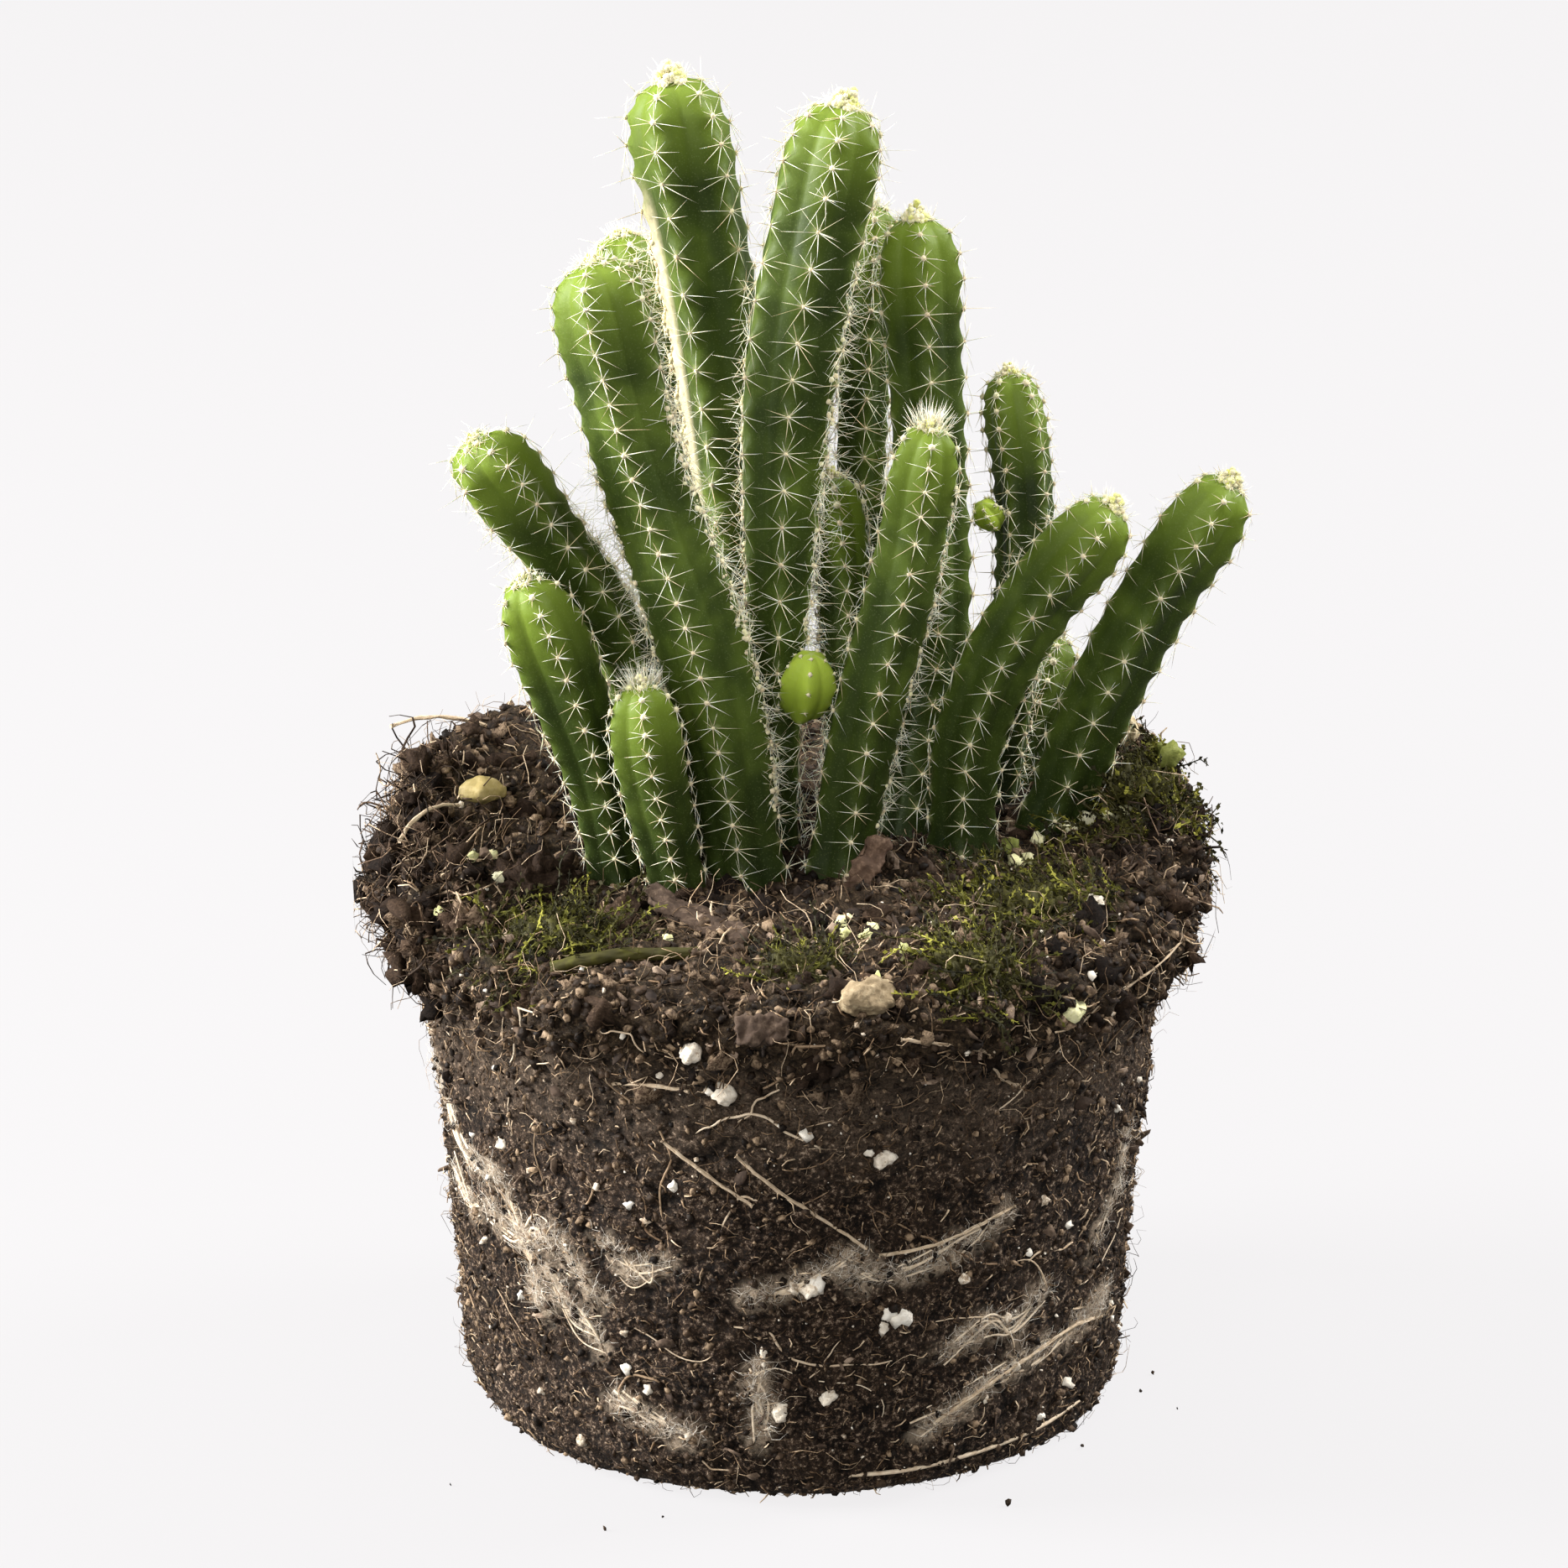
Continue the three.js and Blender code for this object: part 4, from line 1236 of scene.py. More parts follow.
class Ground:
    """All faces of the soil, with the numbers that say what may lie there."""

    def __init__(self, pieces):
        blocks = []
        for piece in pieces:
            mesh = piece.data
            start = np.empty(len(mesh.polygons), dtype=np.int32)
            mesh.polygons.foreach_get("loop_start", start)
            corner = np.empty(len(mesh.loops), dtype=np.int32)
            mesh.loops.foreach_get("vertex_index", corner)
            extras = []
            for title in ("loose", "haze", "moss"):
                values = np.empty(len(mesh.vertices), dtype=np.float32)
                mesh.attributes[title].data.foreach_get("value", values)
                extras.append(values[corner[start]])
            blocks.append((*read_faces(mesh), *extras))
        joined = [np.concatenate(column) for column in zip(*blocks)]
        self.place, self.normal, self.area, self.loose, self.haze, self.moss = joined
        self.smooth = unit(unit(self.place - BALL_MIDDLE) * [1, 1, 0.8])
        self.torn = torn(self.place)
        self.free = np.ones(len(self.place), dtype=bool)
        for stem in stems.values():
            level = np.argmin(np.abs(stem.centres[:, 2] - SOIL_LEVEL))
            gap = np.linalg.norm((self.place - stem.centres[level])[:, :2], axis=1)
            width = np.linalg.norm(stem.rails[level] - stem.centres[level], axis=1).max()
            self.free &= (gap > width * 0.9) | (self.place[:, 2] < 60 * MM)
        self.free &= self.place[:, 2] > 0.5 * MM

    def draw(self, count, weight):
        """Indices of faces, drawn at random by area and weight."""
        share = self.area * weight * self.free
        return dice.choice(len(share), count, p=share / share.sum())

ground = Ground([wall_piece, top_piece])
print("soil area in cm2:", round(ground.area.sum() * 1e4))

# %% Lay crumbs
def lump_shape(seed, detail, rough, squash=1.0):
    bm = bmesh.new()
    bmesh.ops.create_icosphere(bm, subdivisions=detail, radius=1)
    shift = Vector((seed * 7.3, 0, 0))
    for vert in bm.verts:
        coarse = noise.noise(vert.co * 1.6 + shift)
        vert.co *= 1 + rough * (coarse + 0.55 * noise.noise(vert.co * 4.5 + shift))
        vert.co.z *= squash
    return shape_arrays(bm)

def random_frames(places, size):
    """Frames turned every way, one size each."""
    ups = dice.normal(0, 1, (len(places), 3))
    return frames_towards(places, ups, size, size, any_turn(len(places)))

crumbs = [lump_shape(seed, 1, 1.0, 0.45 + 0.08 * seed) for seed in range(7)]
clod_shapes = [lump_shape(seed + 9, 2, 1.5, 0.6) for seed in range(8)]

print("crumb shapes:", len(crumbs), "clod shapes:", len(clod_shapes))

# %% Strew lumps over the soil
def strew(name, shapes, count, weight, sizes, sink, material, slot):
    """Lays lumps on the soil; sizes are (smallest, largest) radius in mm."""
    spot = ground.draw(count, weight)
    size = (sizes[0] + (sizes[1] - sizes[0]) * dice.uniform(0, 1, count) ** 2.5) * MM
    place = ground.place[spot] + ground.normal[spot] * (size * sink)[:, None]
    place[:, 2] = np.maximum(place[:, 2], size)
    picks = dice.integers(0, len(shapes), count)
    tones = dice.uniform(0, 1, count)
    piece = lay_copies(name, shapes, random_frames(place, size), picks, tones, material, smooth=False)
    return seat(piece, slot)

def lay_each(name, shapes, places, radii, tones, material, smooth=True):
    """One lump at each given place, the shapes taken in turn; tones are (lowest, highest)."""
    frames = random_frames(places, radii)
    picks = np.arange(len(places)) % len(shapes)
    return lay_copies(name, shapes, frames, picks, dice.uniform(*tones, len(places)), material, smooth)

def grain_material(name, stops, roughness=0.92, scale=1500, shine=0.25):
    """A material whose colour runs along stops with each copy's tone and a little noise."""
    paint = Paint(name, Roughness=roughness, Specular_IOR_Level=shine)
    cloud = paint.noise(scale, 4, 0.65)
    mixed = paint.math("ADD", paint.attribute("tone"), paint.fit(cloud, 0.3, 0.7, -0.22, 0.22))
    return paint.done(Base_Color=paint.ramp(mixed, *stops), Normal=paint.bump(cloud, 0.0004, 0.7))

# %% Crumbs and clods
crumb_finish = grain_material("peat_crumbs", (
    (0, (0.006, 0.0035, 0.002)), (0.45, (0.028, 0.017, 0.01)), (0.78, (0.075, 0.047, 0.028)),
    (1, (0.3, 0.21, 0.13))), 0.55, 1500, 0.14)
strew("crumbs_on_wall", crumbs, 6000, 1 - ground.loose, (0.2, 0.75), 0.1, crumb_finish, "soil")
strew("crumbs_on_top", crumbs, 8000, ground.loose, (0.25, 1.05), 0.25, crumb_finish, "soil")
clod_finish = grain_material("peat_clods", (
    (0, (0.005, 0.003, 0.002)), (0.5, (0.022, 0.013, 0.008)), (0.85, (0.06, 0.037, 0.023)),
    (1, (0.2, 0.14, 0.09))), 0.75, 2600, 0.08)
strew("clods", clod_shapes, 480, ground.loose, (0.8, 2.3), 0.0, clod_finish, "soil")

print("pieces so far:", len(seated))

# %% [markdown]
# ## Perlite grains
# The potting mix holds white volcanic grains. The eleven largest stand where the CAD has them. Small ones,
# from dust to a millimetre across, are sprinkled all over and sit half sunk in the peat.

# %% Refined copies of CAD nodes
REFINED_TONE = 0.5

def refined(node, cuts, rounds, height, grain, material, slot, seed=0.0, slim=0.0):
    """A finer copy of a CAD node, slimmer by slim, with relief of a given height and grain, all in mm."""
    bm = merged_copy(node)
    bmesh.ops.subdivide_edges(bm, edges=bm.edges, cuts=cuts, use_grid_fill=True)
    for _ in range(rounds):
        bmesh.ops.smooth_vert(
            bm, verts=bm.verts, factor=0.5, use_axis_x=True, use_axis_y=True, use_axis_z=True,
        )
    bm.normal_update()
    shift = Vector((seed, seed, seed))
    moves = [noise.fractal(v.co / (grain * MM) + shift, 0.9, 2.1, 4) * height - slim for v in bm.verts]
    for vert, normal, move in zip(bm.verts, [v.normal.copy() for v in bm.verts], moves):
        vert.co += normal * move * MM
    piece = piece_of(mesh_from(bm, node + "_finish"), node + "_finish", material)
    mark_points(piece.data, "tone", np.full(len(piece.data.vertices), REFINED_TONE))
    return seat(piece, slot, node)

# %% Larger grains
perlite_finish = grain_material("perlite", (
    (0, (0.14, 0.09, 0.055)), (0.3, (0.42, 0.32, 0.22)), (0.44, (0.78, 0.68, 0.54)), (1, (0.93, 0.87, 0.76))),
    0.85, 1700)
mossy_perlite = grain_material("perlite_mossy", (
    (0, (0.4, 0.42, 0.1)), (0.5, (0.8, 0.76, 0.42)), (1, (0.93, 0.88, 0.66))), 0.8, 2200)
GREENISH = ("perlite_top_front", "perlite_top_middle", "perlite_by_stem", "perlite_collar_right")
for k, node in enumerate(n for n in cad_nodes if n.startswith("perlite_")):
    finish = mossy_perlite if node in GREENISH else perlite_finish
    refined(node, 3, 1, 0.6, 1.1, finish, "perlite", k * 3.1)

print("pieces so far:", len(seated))

# %% Grains on the wall
grains = [lump_shape(seed + 20, 1, 0.9, 0.8) for seed in range(5)]
WALL_GRAIN_GROWTH = 1.25
GRAINS_ON_WALL = [
    # angle in degrees from the front, height in mm, radius in mm before it is multiplied by WALL_GRAIN_GROWTH
    (2, 58, 0.7), (-21, 63, 0.5), (-27, 45, 0.6), (-24, 43, 0.5), (-19, 49, 0.6), (44, 42, 0.6), (0, 34, 0.8),
    (4, 35, 0.9), (29, 33, 0.7), (16, 29, 0.9), (18, 28.5, 1.1), (15, 27, 0.7), (-52, 24, 0.6),
    (-29, 24, 0.6),
    (-29, 18, 0.6), (-25, 15, 0.5), (-5, 23, 0.5), (41, 15, 0.6), (55, 8, 0.7), (35, 11, 0.5), (48, 4, 0.5),
    (-18, 8, 0.6), (-39, 3, 0.7), (12, 55, 0.6), (15, 54, 0.9), (-53, 48, 0.7), (-36, 56, 0.5), (51, 36, 0.5),
    (38, 24, 0.6), (-48, 9, 0.5), (-12, 64, 0.6), (-62, 30, 0.6), (64, 50, 0.5), (118, 44, 0.9),
    (150, 20, 1.0),
    (-120, 38, 0.9), (-150, 12, 0.8), (180, 50, 1.0), (95, 15, 0.7), (-95, 52, 0.6),
]
spots = np.array([on_wall(angle, level) for angle, level, _ in GRAINS_ON_WALL])
radii = WALL_GRAIN_GROWTH * np.array([radius for _, _, radius in GRAINS_ON_WALL]) * MM
coarse_grains = [lump_shape(seed + 40, 2, 0.95, 0.85) for seed in range(5)]
seat(lay_each("perlite_on_wall", coarse_grains, spots, radii, (0.3, 1), perlite_finish), "perlite")
strew("perlite_small", grains, 330, 0.5 + ground.loose * 0.4, (0.2, 0.75), 0.35, perlite_finish, "perlite")
strew("perlite_dust", grains, 1000, 1 - 0.5 * ground.loose, (0.08, 0.24), 0.5, perlite_finish, "perlite")

print("pieces so far:", len(seated))

# %% Grains on top
GRAINS_ON_TOP = [
    # x and y in mm, radius in mm
    (7, -34, 0.7), (10, -37, 0.8), (34, 1, 1.1), (47, 2, 1.0), (39, 2, 1.2), (42, 3.5, 1.1), (44.5, 1, 0.9),
    (32, -8, 1.2), (46, 20, 0.8), (-45, -11, 1.0), (-42, -9, 0.8), (-41, -16, 1.1), (-49, -25, 0.7),
    (11, -53, 1.1), (-17, -36, 0.8), (-36, -29, 0.7), (-39, -14, 0.9), (22, -36, 0.7), (15, -44, 0.8),
]

def top_face(x, y):
    """Index of the soil's face that lies on top, nearest to x and y in mm."""
    gap = np.hypot(ground.place[:, 0] - x * MM, ground.place[:, 1] - y * MM)
    return np.argmin(gap + (ground.place[:, 2] < 70 * MM))

spots = np.array([ground.place[top_face(x, y)] for x, y, _ in GRAINS_ON_TOP])
radii = np.array([radius for _, _, radius in GRAINS_ON_TOP]) * MM
spots[:, 2] += 0.8 * radii
seat(lay_each("perlite_on_top", coarse_grains, spots, radii, (0.2, 0.8), mossy_perlite), "perlite")
print("pieces so far:", len(seated))

# %% [markdown]
# ## Fibres and fine roots
# Tan peat fibres and hair-fine roots lie over the whole ball, and some stick out. A fibre is a three-sided
# thread, modelled straight, cut across and bent. Eight bends are enough, because every copy is turned another
# way.

# %% Thread shapes
def thread_shape(sides, cuts, width, tip=0.5):
    """A straight thread one unit long along Z."""
    bm = bmesh.new()
    bmesh.ops.create_cone(bm, segments=sides, radius1=width, radius2=width * tip, depth=1, cap_ends=True)
    bmesh.ops.translate(bm, vec=(0, 0, 0.5), verts=bm.verts)
    sides = [e for e in bm.edges if abs(e.verts[0].co.z - e.verts[1].co.z) > 0.5]
    bmesh.ops.subdivide_edges(bm, edges=sides, cuts=cuts)
    return bm

def sway_at(seed, z):
    """A smooth random vector that changes with z."""
    return noise.noise_vector(Vector((seed, 0, z)))

def bent_thread(seed, width, cuts=4, bend=0.25):
    bm = thread_shape(3, cuts, width)
    for vert in bm.verts:
        sway = sway_at(seed * 5.7, vert.co.z * 1.6) - sway_at(seed * 5.7, 0)
        vert.co.x += bend * sway.x * 2
        vert.co.y += bend * sway.y * 2
        vert.co.z -= abs(sway.x) * bend * 0.5
    return shape_arrays(bm)

fibres = [bent_thread(seed, 0.008 + 0.003 * (seed % 3)) for seed in range(8)]
stubs = [bent_thread(seed + 60, 0.045 + 0.02 * (seed % 3), 1, 0.2) for seed in range(6)]

print("fibre faces:", len(fibres[0][1]), "stub faces:", len(stubs[0][1]))

# %% Lay threads on the soil
def lay_threads(name, shapes, count, weight, lengths, lift, material, slot, bunch=None):
    """Threads that leave the soil at a small angle; lengths in mm, lift in degrees (mean, spread)."""
    spot = ground.draw(count, weight)
    normal = unit(ground.normal[spot] + 1.5 * ground.smooth[spot])
    return threads_at(name, shapes, ground.place[spot], normal, lengths, lift, material, slot, bunch)

def threads_at(name, shapes, places, normal, lengths, lift, material, slot, bunch=None):
    """Threads that start at given places."""
    count = len(places)
    flat = dice.normal(0, 1, (count, 3))
    if bunch is not None:
        flat = flat * 0.45 + np.array(bunch)
    flat = unit(flat - normal * np.sum(flat * normal, axis=1)[:, None])
    angle = np.radians(dice.normal(*lift, count))[:, None]
    ups = flat * np.cos(angle) + normal * np.sin(angle)
    size = dice.uniform(*lengths, count) * MM
    frames = frames_towards(places + normal * 0.15 * MM, ups, size, size, any_turn(count))
    picks = dice.integers(0, len(shapes), count)
    piece = lay_copies(name, shapes, frames, picks, dice.uniform(0, 1, count), material)
    return seat(piece, slot)

# %% Fibres and chaff
fibre_finish = grain_material("peat_fibre", (
    (0, (0.02, 0.012, 0.006)), (0.45, (0.1, 0.06, 0.032)), (0.72, (0.32, 0.21, 0.12)),
    (1, (0.75, 0.58, 0.39))), 0.7, 900, 0.15)
lay_threads("fibres_on_wall", fibres, 1500, 1 - ground.loose, (2, 6), (3, 6), fibre_finish, "root")
lay_threads("chaff_on_wall", stubs, 4700, 1 - ground.loose, (0.7, 2.2), (8, 12), fibre_finish, "root")
lay_threads("fibres_on_top", fibres, 2600, ground.loose, (2.5, 8), (10, 13), fibre_finish, "root")
lay_threads("chaff_on_top", stubs, 3800, ground.loose, (0.9, 3), (14, 18), fibre_finish, "root")

print("pieces so far:", len(seated))

# %% [markdown]
# ## The torn rim
# At the left, the right and the back the collar was torn when the pot came off, and dark fibres hold its
# loose scraps together. The relief of the soil already has the tears. Here bent dark threads and lumps of
# peat are laid over them, with the depth of the tears as their weight, so that the outline turns ragged
# just there.

# %% Tangle on the torn rim
tangle_finish = grain_material("tangle", (
    (0, (0.012, 0.007, 0.004)), (0.6, (0.045, 0.027, 0.016)), (0.85, (0.16, 0.1, 0.06)),
    (1, (0.6, 0.45, 0.3))), 0.7, 900, 0.15)
tangle = [bent_thread(seed + 80, 0.02 + 0.01 * (seed % 3), 5, 0.5) for seed in range(6)]
lay_threads("rim_tangle", tangle, 900, ground.torn ** 1.5, (2.5, 7), (30, 28), tangle_finish, "root")
strew("rim_scraps", clod_shapes, 260, ground.torn ** 1.5, (0.7, 2.4), 0.7, clod_finish, "soil")

print("pieces so far:", len(seated))

# %% [markdown]
# ## Root hair
# Where fine roots met the smooth pot they spread a felt of pale hair. It follows the branching trails that
# already tint the peat. Each hair is a very fine thread that lies almost flat on the wall.

# %% Lay root hair
hairs = [bent_thread(seed + 30, 0.01, 2, 0.26) for seed in range(8)]
hair_finish = grain_material("root_hair", (
    (0, (0.42, 0.32, 0.23)), (0.45, (0.78, 0.67, 0.53)), (1, (0.97, 0.92, 0.82))), 0.9, 1200)
on_trails = (1 - ground.loose) * smoothstep(ground.haze, 0.3, 1.2) ** 1.5
lay_threads("root_hair", hairs, 7500, on_trails, (1.0, 3.4), (2, 4), hair_finish, "root_hair",
            bunch=(0, 0, 0.35))
print("pieces so far:", len(seated))

# %% [markdown]
# ## Roots and twigs
# Thin roots wander over the wall. Each is one straight five-sided thread that is bent along a path: the
# path takes small steps over the ball and changes its heading a little at every step. Thicker roots run
# along the trails of root hair. The largest roots, twigs and flakes are CAD nodes, which only get a finer
# relief.

# %% Wandering roots
ROOT_STEPS = 14
LOWEST, HIGHEST = 2, 70         # mm between which a root stays

def wander(angle, z, heading, length, wiggle):
    """A path over the soil: start in degrees and mm, heading in degrees from level, length in mm."""
    stride = length / ROOT_STEPS
    path = []
    for _ in range(ROOT_STEPS + 1):
        place = on_wall(angle, z)
        path.append(place)
        heading += dice.normal(0, wiggle)
        angle += math.degrees(stride * math.cos(math.radians(heading)) * MM / np.hypot(*place[:2]))
        z = min(HIGHEST, max(LOWEST, z + stride * math.sin(math.radians(heading))))
    return np.array(path)

def thread_along(path, width, tone, shape):
    """A block of a straight thread that is bent along a path over the ball; width in mm."""
    points, faces = shape
    knots = np.linspace(0, 1, len(path))
    t = points[:, 2]
    middle = between(path, knots, t)
    onward = between(path, knots, np.minimum(t + 0.01, 1)) - between(path, knots, np.maximum(t - 0.01, 0))
    side = unit(np.cross(onward, middle - BALL_MIDDLE))
    out = unit(np.cross(side, onward))
    swell = width * MM / 2 * (0.35 + 0.65 * np.sqrt(np.clip(1 - (2 * t - 0.9) ** 2 / 1.22, 0, 1)))
    placed = middle + side * (points[:, 0] * swell)[:, None] + out * (points[:, 1] * swell)[:, None]
    return placed, *corner_rows(faces), np.full(len(placed), tone)

# %% Lay the roots
root_shape = shape_arrays(thread_shape(5, 23, 1, 1))
root_blocks = []
WANDERING_ROOTS = 90
ROOTS_PER_TRAIL = 4
STRAY = 1.3                     # degrees and mm by which they leave the trail's stops
for _ in range(WANDERING_ROOTS):
    angle, level = dice.uniform(-180, 180), dice.uniform(6, 68)
    path = wander(angle, level, dice.choice([0, 180]) + dice.normal(0, 28), dice.uniform(8, 34), 16)
    root_blocks.append(thread_along(path, dice.uniform(0.16, 0.42), dice.uniform(0, 1), root_shape))
for trail in HAIR_TRAILS:
    for _ in range(ROOTS_PER_TRAIL):
        path = np.array([
            on_wall(angle + dice.normal(0, STRAY), max(LOWEST, z + dice.normal(0, STRAY)))
            for angle, z in trail
        ])
        root_blocks.append(thread_along(path, dice.uniform(0.2, 0.5), dice.uniform(0.8, 1), root_shape))
BOTTOM_ROOT = [(6, 1.2), (20, 1.0), (34, 1.4), (48, 1.6), (60, 3)]
root_blocks.append(thread_along(np.array([on_wall(*stop) for stop in BOTTOM_ROOT]), 0.7, 0.8, root_shape))
root_finish = grain_material("fine_root", (
    (0, (0.18, 0.11, 0.06)), (0.5, (0.45, 0.32, 0.2)), (1, (0.82, 0.68, 0.5))), 0.75, 700)
pale_root = grain_material("pale_root", (
    (0, (0.24, 0.16, 0.1)), (0.5, (0.55, 0.42, 0.28)), (1, (0.86, 0.75, 0.58))), 0.75, 1100)
seat(mesh_of_blocks("fine_roots", root_blocks, root_finish), "root")

print("fine roots:", len(root_blocks))

# %% Roots, twigs and bark from the frame
bark_finish = grain_material("bark", (
    (0, (0.016, 0.01, 0.007)), (0.5, (0.06, 0.038, 0.025)), (0.8, (0.16, 0.11, 0.075)),
    (1, (0.34, 0.25, 0.18))), 0.88, 900)
leaf_finish = grain_material("dry_leaf", (
    (0, (0.025, 0.014, 0.009)), (0.5, (0.09, 0.052, 0.032)), (0.8, (0.24, 0.155, 0.1)),
    (1, (0.42, 0.3, 0.21))), 0.75, 800)
ROOT_SLIM = {"root_wall_low": 0.56, "root_wall_right": 0.48, "root_far_left": 0.22, "root_left": 0.2}
for node in cad_nodes:
    if node.startswith("root_") and node != "root_ball":
        refined(node, 2, 1, 0.2, 1.1, pale_root, "root", slim=ROOT_SLIM.get(node, 0.36))
    elif node.startswith(("twig_right", "bark_")):
        refined(node, 3, 1, 0.9, 1.5, bark_finish, "bark")
refined("curled_leaf", 3, 1, 0.9, 2.2, leaf_finish, "bark", slim=0.1)

print("pieces so far:", len(seated))

# %% [markdown]
# ## Lumps
# A pebble, a peat lump, a chunk of husk and a dried bud are CAD nodes too. Each copy is subdivided,
# smoothed and pushed in and out by noise. The husk is rough and wide-grained, while the pebble is nearly
# smooth.

# %% Lumps from the frame
pebble_finish = grain_material("pebble", (
    (0, (0.11, 0.085, 0.025)), (0.5, (0.35, 0.27, 0.1)), (1, (0.62, 0.5, 0.27))), 0.6, 500)
chunk_finish = grain_material("tan_chunk", (
    (0, (0.07, 0.05, 0.025)), (0.5, (0.27, 0.2, 0.115)), (1, (0.58, 0.48, 0.31))), 0.85, 900)
bud_husk = grain_material("dry_bud", (
    (0, (0.3, 0.2, 0.09)), (0.5, (0.62, 0.5, 0.3)), (1, (0.85, 0.76, 0.55))), 0.7, 900)
refined("pebble", 4, 2, 0.35, 2.5, pebble_finish, "pebble")
refined("peat_lump", 5, 1, 2.4, 1.7, clod_finish, "soil")
refined("tan_chunk", 5, 1, 1.1, 2.6, chunk_finish, "bark")
refined("dried_bud", 4, 1, 0.6, 1.8, bud_husk, "dry_bud")
print("pieces so far:", len(seated))

# %% [markdown]
# ## Moss
# Moss grows in low cushions and long loose strands. A frond is a thin stalk with small pointed leaves set
# round it. The fronds stand thick on the five cushions of the CAD model and thin out over the soil round
# them, where the peat is tinted green as well.

# %% Moss fronds
def frond_shape(seed, leaves, leaf_length):
    """A stalk one unit long with diamond leaves."""
    bm = thread_shape(3, 2, 0.022)
    for k in range(leaves):
        height = 0.12 + 0.84 * k / leaves
        leaf = bmesh.ops.create_circle(bm, cap_ends=True, segments=4, radius=1)["verts"]
        bmesh.ops.scale(bm, vec=(0.05, leaf_length, 1), verts=leaf)
        bmesh.ops.translate(bm, vec=(0, leaf_length, 0), verts=leaf)
        turn = Matrix.Rotation(k * 2.4 + seed, 4, "Z") @ Matrix.Rotation(0.75, 4, "X")
        bmesh.ops.transform(bm, matrix=Matrix.Translation((0, 0, height)) @ turn, verts=leaf)
    for vert in bm.verts:
        sway = sway_at(seed * 4.1, vert.co.z) * vert.co.z
        vert.co.x += sway.x * 0.7
        vert.co.y += sway.y * 0.7
    return shape_arrays(bm)

fronds = [frond_shape(seed, 9, 0.12) for seed in range(5)]
strands = [frond_shape(seed + 11, 12, 0.05) for seed in range(4)]

def moss_material(name, stops):
    paint = Paint(name, Roughness=0.75, Specular_IOR_Level=0.3)
    mixed = paint.math("ADD", paint.attribute("tone"), paint.fit(paint.noise(500, 3), 0.3, 0.7, -0.2, 0.2))
    return paint.done(Base_Color=paint.ramp(mixed, *stops))

moss_finish = moss_material("moss", (
    (0, (0.011, 0.009, 0.001)), (0.55, (0.042, 0.037, 0.003)), (0.88, (0.1, 0.098, 0.007)),
    (1, (0.34, 0.32, 0.05))))
cushions = [refined(node, 5, 2, 2.4, 1.2, moss_finish, "moss", slim=0.3) for node in MOSS_SPREAD]
FRONDS_PER_CUSHION = 300
cushion_places, cushion_normals = [], []
for cushion in cushions:
    centre, normal, area = read_faces(cushion.data)
    share = area * (normal[:, 2] > 0.1)
    pick = dice.choice(len(share), FRONDS_PER_CUSHION, p=share / share.sum())
    cushion_places.append(centre[pick])
    cushion_normals.append(normal[pick])
threads_at("moss_on_cushions", fronds, np.concatenate(cushion_places), np.concatenate(cushion_normals),
           (0.8, 2.2), (25, 22), moss_finish, "moss")
lay_threads("moss_fronds", fronds, 2500, ground.moss ** 0.6, (0.7, 1.7), (12, 15), moss_finish, "moss")
lay_threads("moss_strands", strands, 1700, ground.moss ** 0.6, (3, 9), (3, 5), moss_finish, "moss")
refined("twig_mossy", 2, 1, 0.3, 1.4, moss_finish, "bark")
print("pieces so far:", len(seated))

# %% [markdown]
# ## Bark flecks
# Potting soil is full of flat brown flakes. A flake is a thin six-sided plate, bent and made uneven by
# noise. More than a thousand of them lie on the loose soil, and fewer on the wall.

# %% Flecks of bark
def fleck_shape(seed):
    bm = bmesh.new()
    bmesh.ops.create_circle(bm, cap_ends=True, segments=6, radius=1)
    top = bmesh.ops.extrude_face_region(bm, geom=bm.faces[:])
    bmesh.ops.translate(bm, vec=(0, 0, 0.16), verts=new_verts(top))
    for vert in bm.verts:
        vert.co *= 1 + 0.5 * noise.noise(vert.co + Vector((seed * 3.7, 0, 0)))
        vert.co.z += 0.25 * noise.noise(vert.co * 0.8 + Vector((0, seed * 3.7, 0)))
        vert.co.y *= 0.55
    bmesh.ops.recalc_face_normals(bm, faces=bm.faces)
    return shape_arrays(bm)

flecks = [fleck_shape(seed) for seed in range(6)]
strew("bark_flecks", flecks, 1300, 0.45 + ground.loose, (0.5, 2.0), 0.15, bark_finish, "bark")

print("fleck faces:", len(flecks[0][1]))

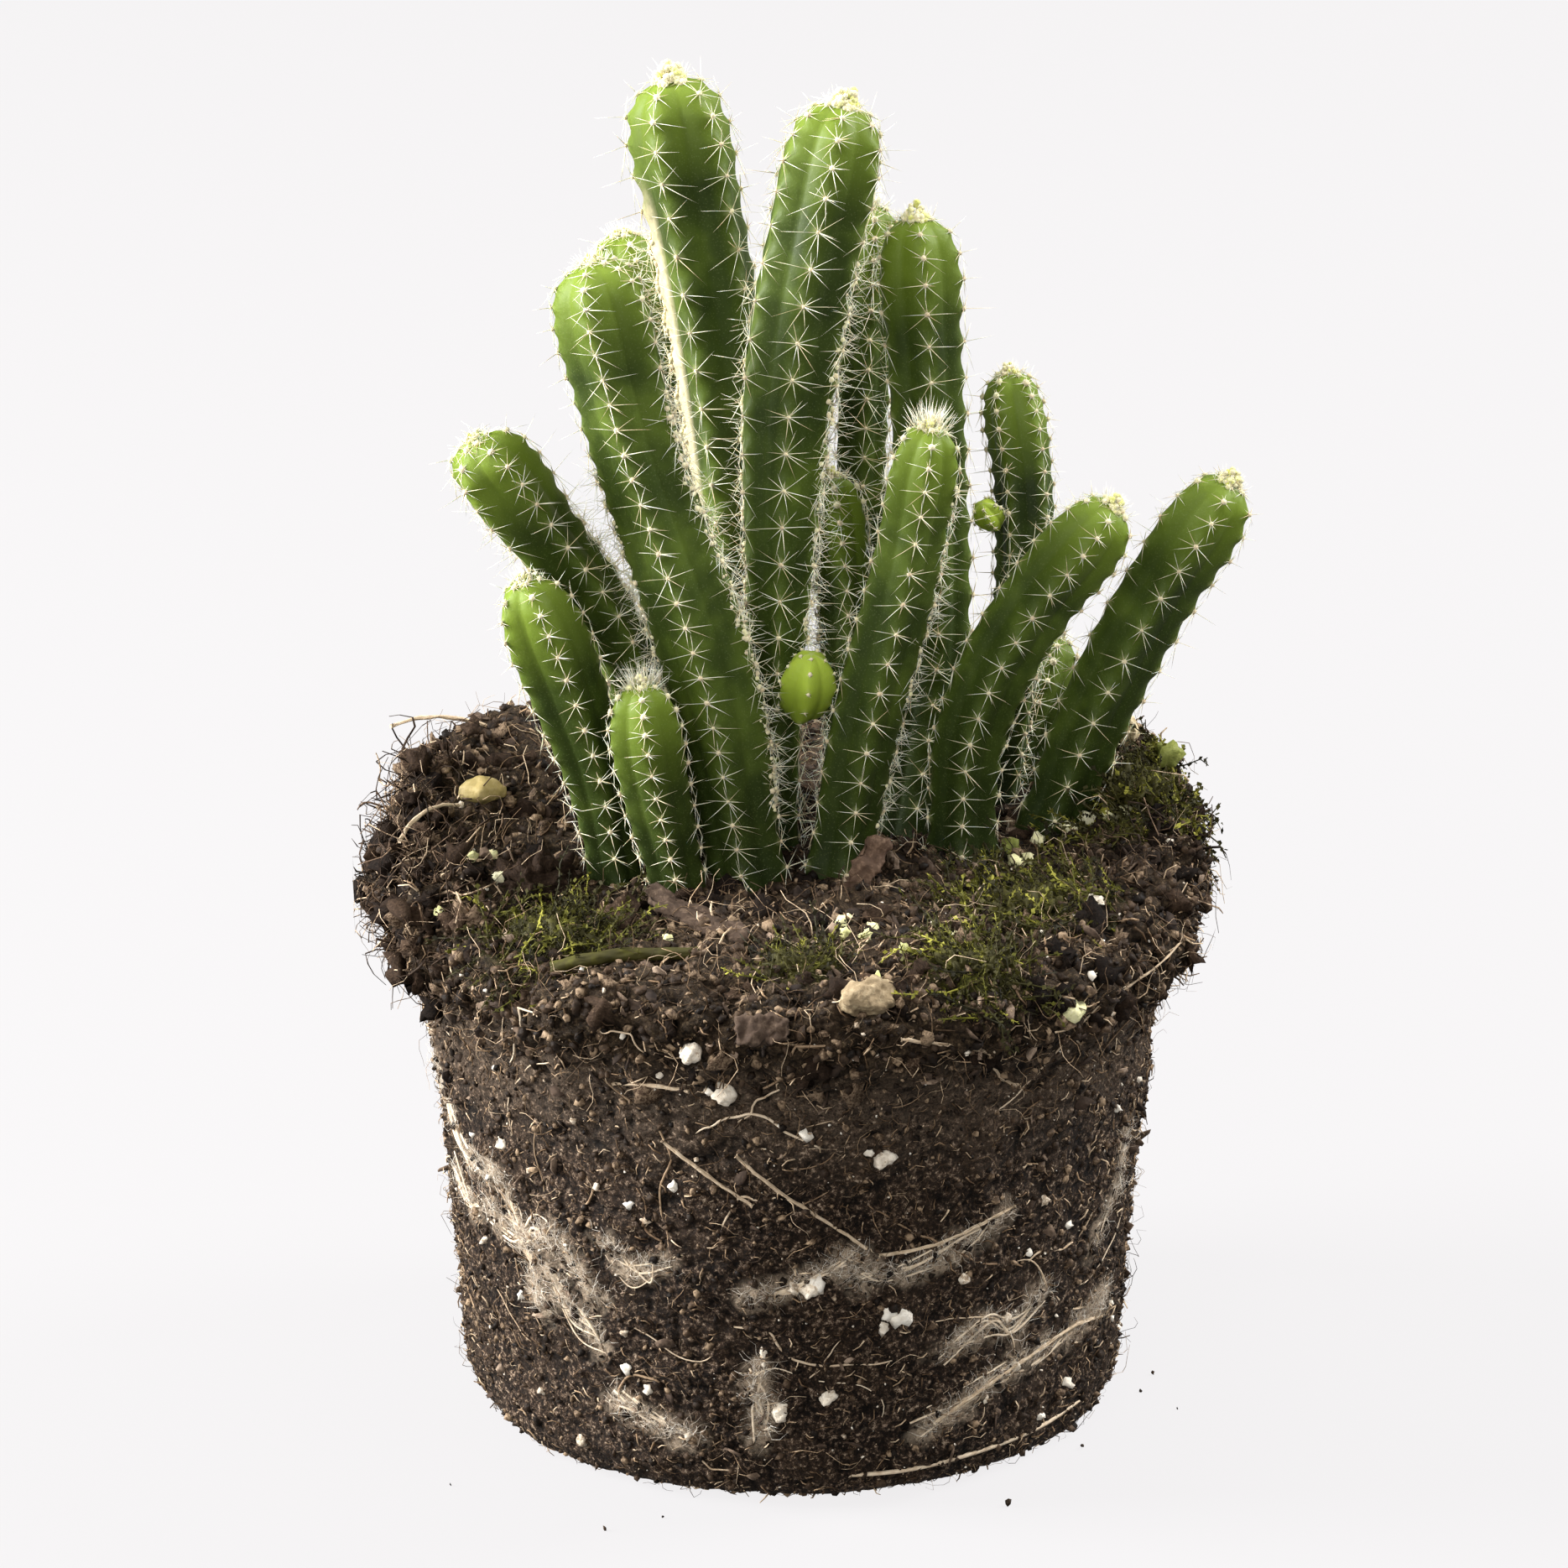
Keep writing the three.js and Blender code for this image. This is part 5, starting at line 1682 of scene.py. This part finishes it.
# %% [markdown]
# ## Last small things
# A few olive sprouts sit between the stems, and a few crumbs have dropped beside the ball. There are so few
# of them that their places are listed. They reuse the lumpy shapes that were modelled for the grains and
# crumbs.

# %% Sprouts and fallen crumbs
SPROUTS = [
    # x, y and z in mm, half width in mm
    (-3.0, -7.2, 96, 0.8), (53.5, 14, 89.5, 1.9), (31, -2, 81.5, 1.3), (-46, -12, 82, 1.0),
]
places = np.array([sprout[:3] for sprout in SPROUTS]) * MM
radii = np.array([sprout[3] for sprout in SPROUTS]) * MM
upright = np.tile([0, -0.25, 1.0], (len(SPROUTS), 1))
frames = frames_towards(places, upright, radii * 1.25, radii, np.zeros(len(SPROUTS)))
sprout_finish = grain_material("sprout", (
    (0, (0.06, 0.07, 0.012)), (0.5, (0.2, 0.22, 0.045)), (1, (0.42, 0.42, 0.14))), 0.6, 900)
tones = np.full(len(SPROUTS), REFINED_TONE)
piece = lay_copies("sprouts", coarse_grains, frames, np.arange(len(SPROUTS)), tones, sprout_finish)
seat(piece, "bud_skin")

print("pieces so far:", len(seated))

# %% Fallen crumbs
FALLEN = [
    # x and y in mm on the floor, radius in mm
    (-51, -42, 0.25), (-26, -54, 0.35), (-18, -50, 0.25), (30, -46, 0.55), (41, -27, 0.45), (52, -2, 0.3),
    (50, -8, 0.25), (47, 10, 0.3), (-43, 30, 0.4), (20, 49, 0.5), (-20, 48, 0.3), (55, -14, 0.2),
]
radii = np.array([fallen[2] for fallen in FALLEN]) * MM
places = np.array([(x * MM, y * MM, radius * MM) for x, y, radius in FALLEN])
seat(lay_each("fallen_crumbs", crumbs, places, radii, (0, 0.7), crumb_finish, smooth=False), "soil")

print("pieces so far:", len(seated))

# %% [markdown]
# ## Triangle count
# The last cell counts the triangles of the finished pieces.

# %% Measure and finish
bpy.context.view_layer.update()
triangles = {piece.name: sum(len(f.vertices) - 2 for f in piece.data.polygons) for piece in seated}
print("triangles:", sum(triangles.values()), "most in one piece:", max(triangles.values()))
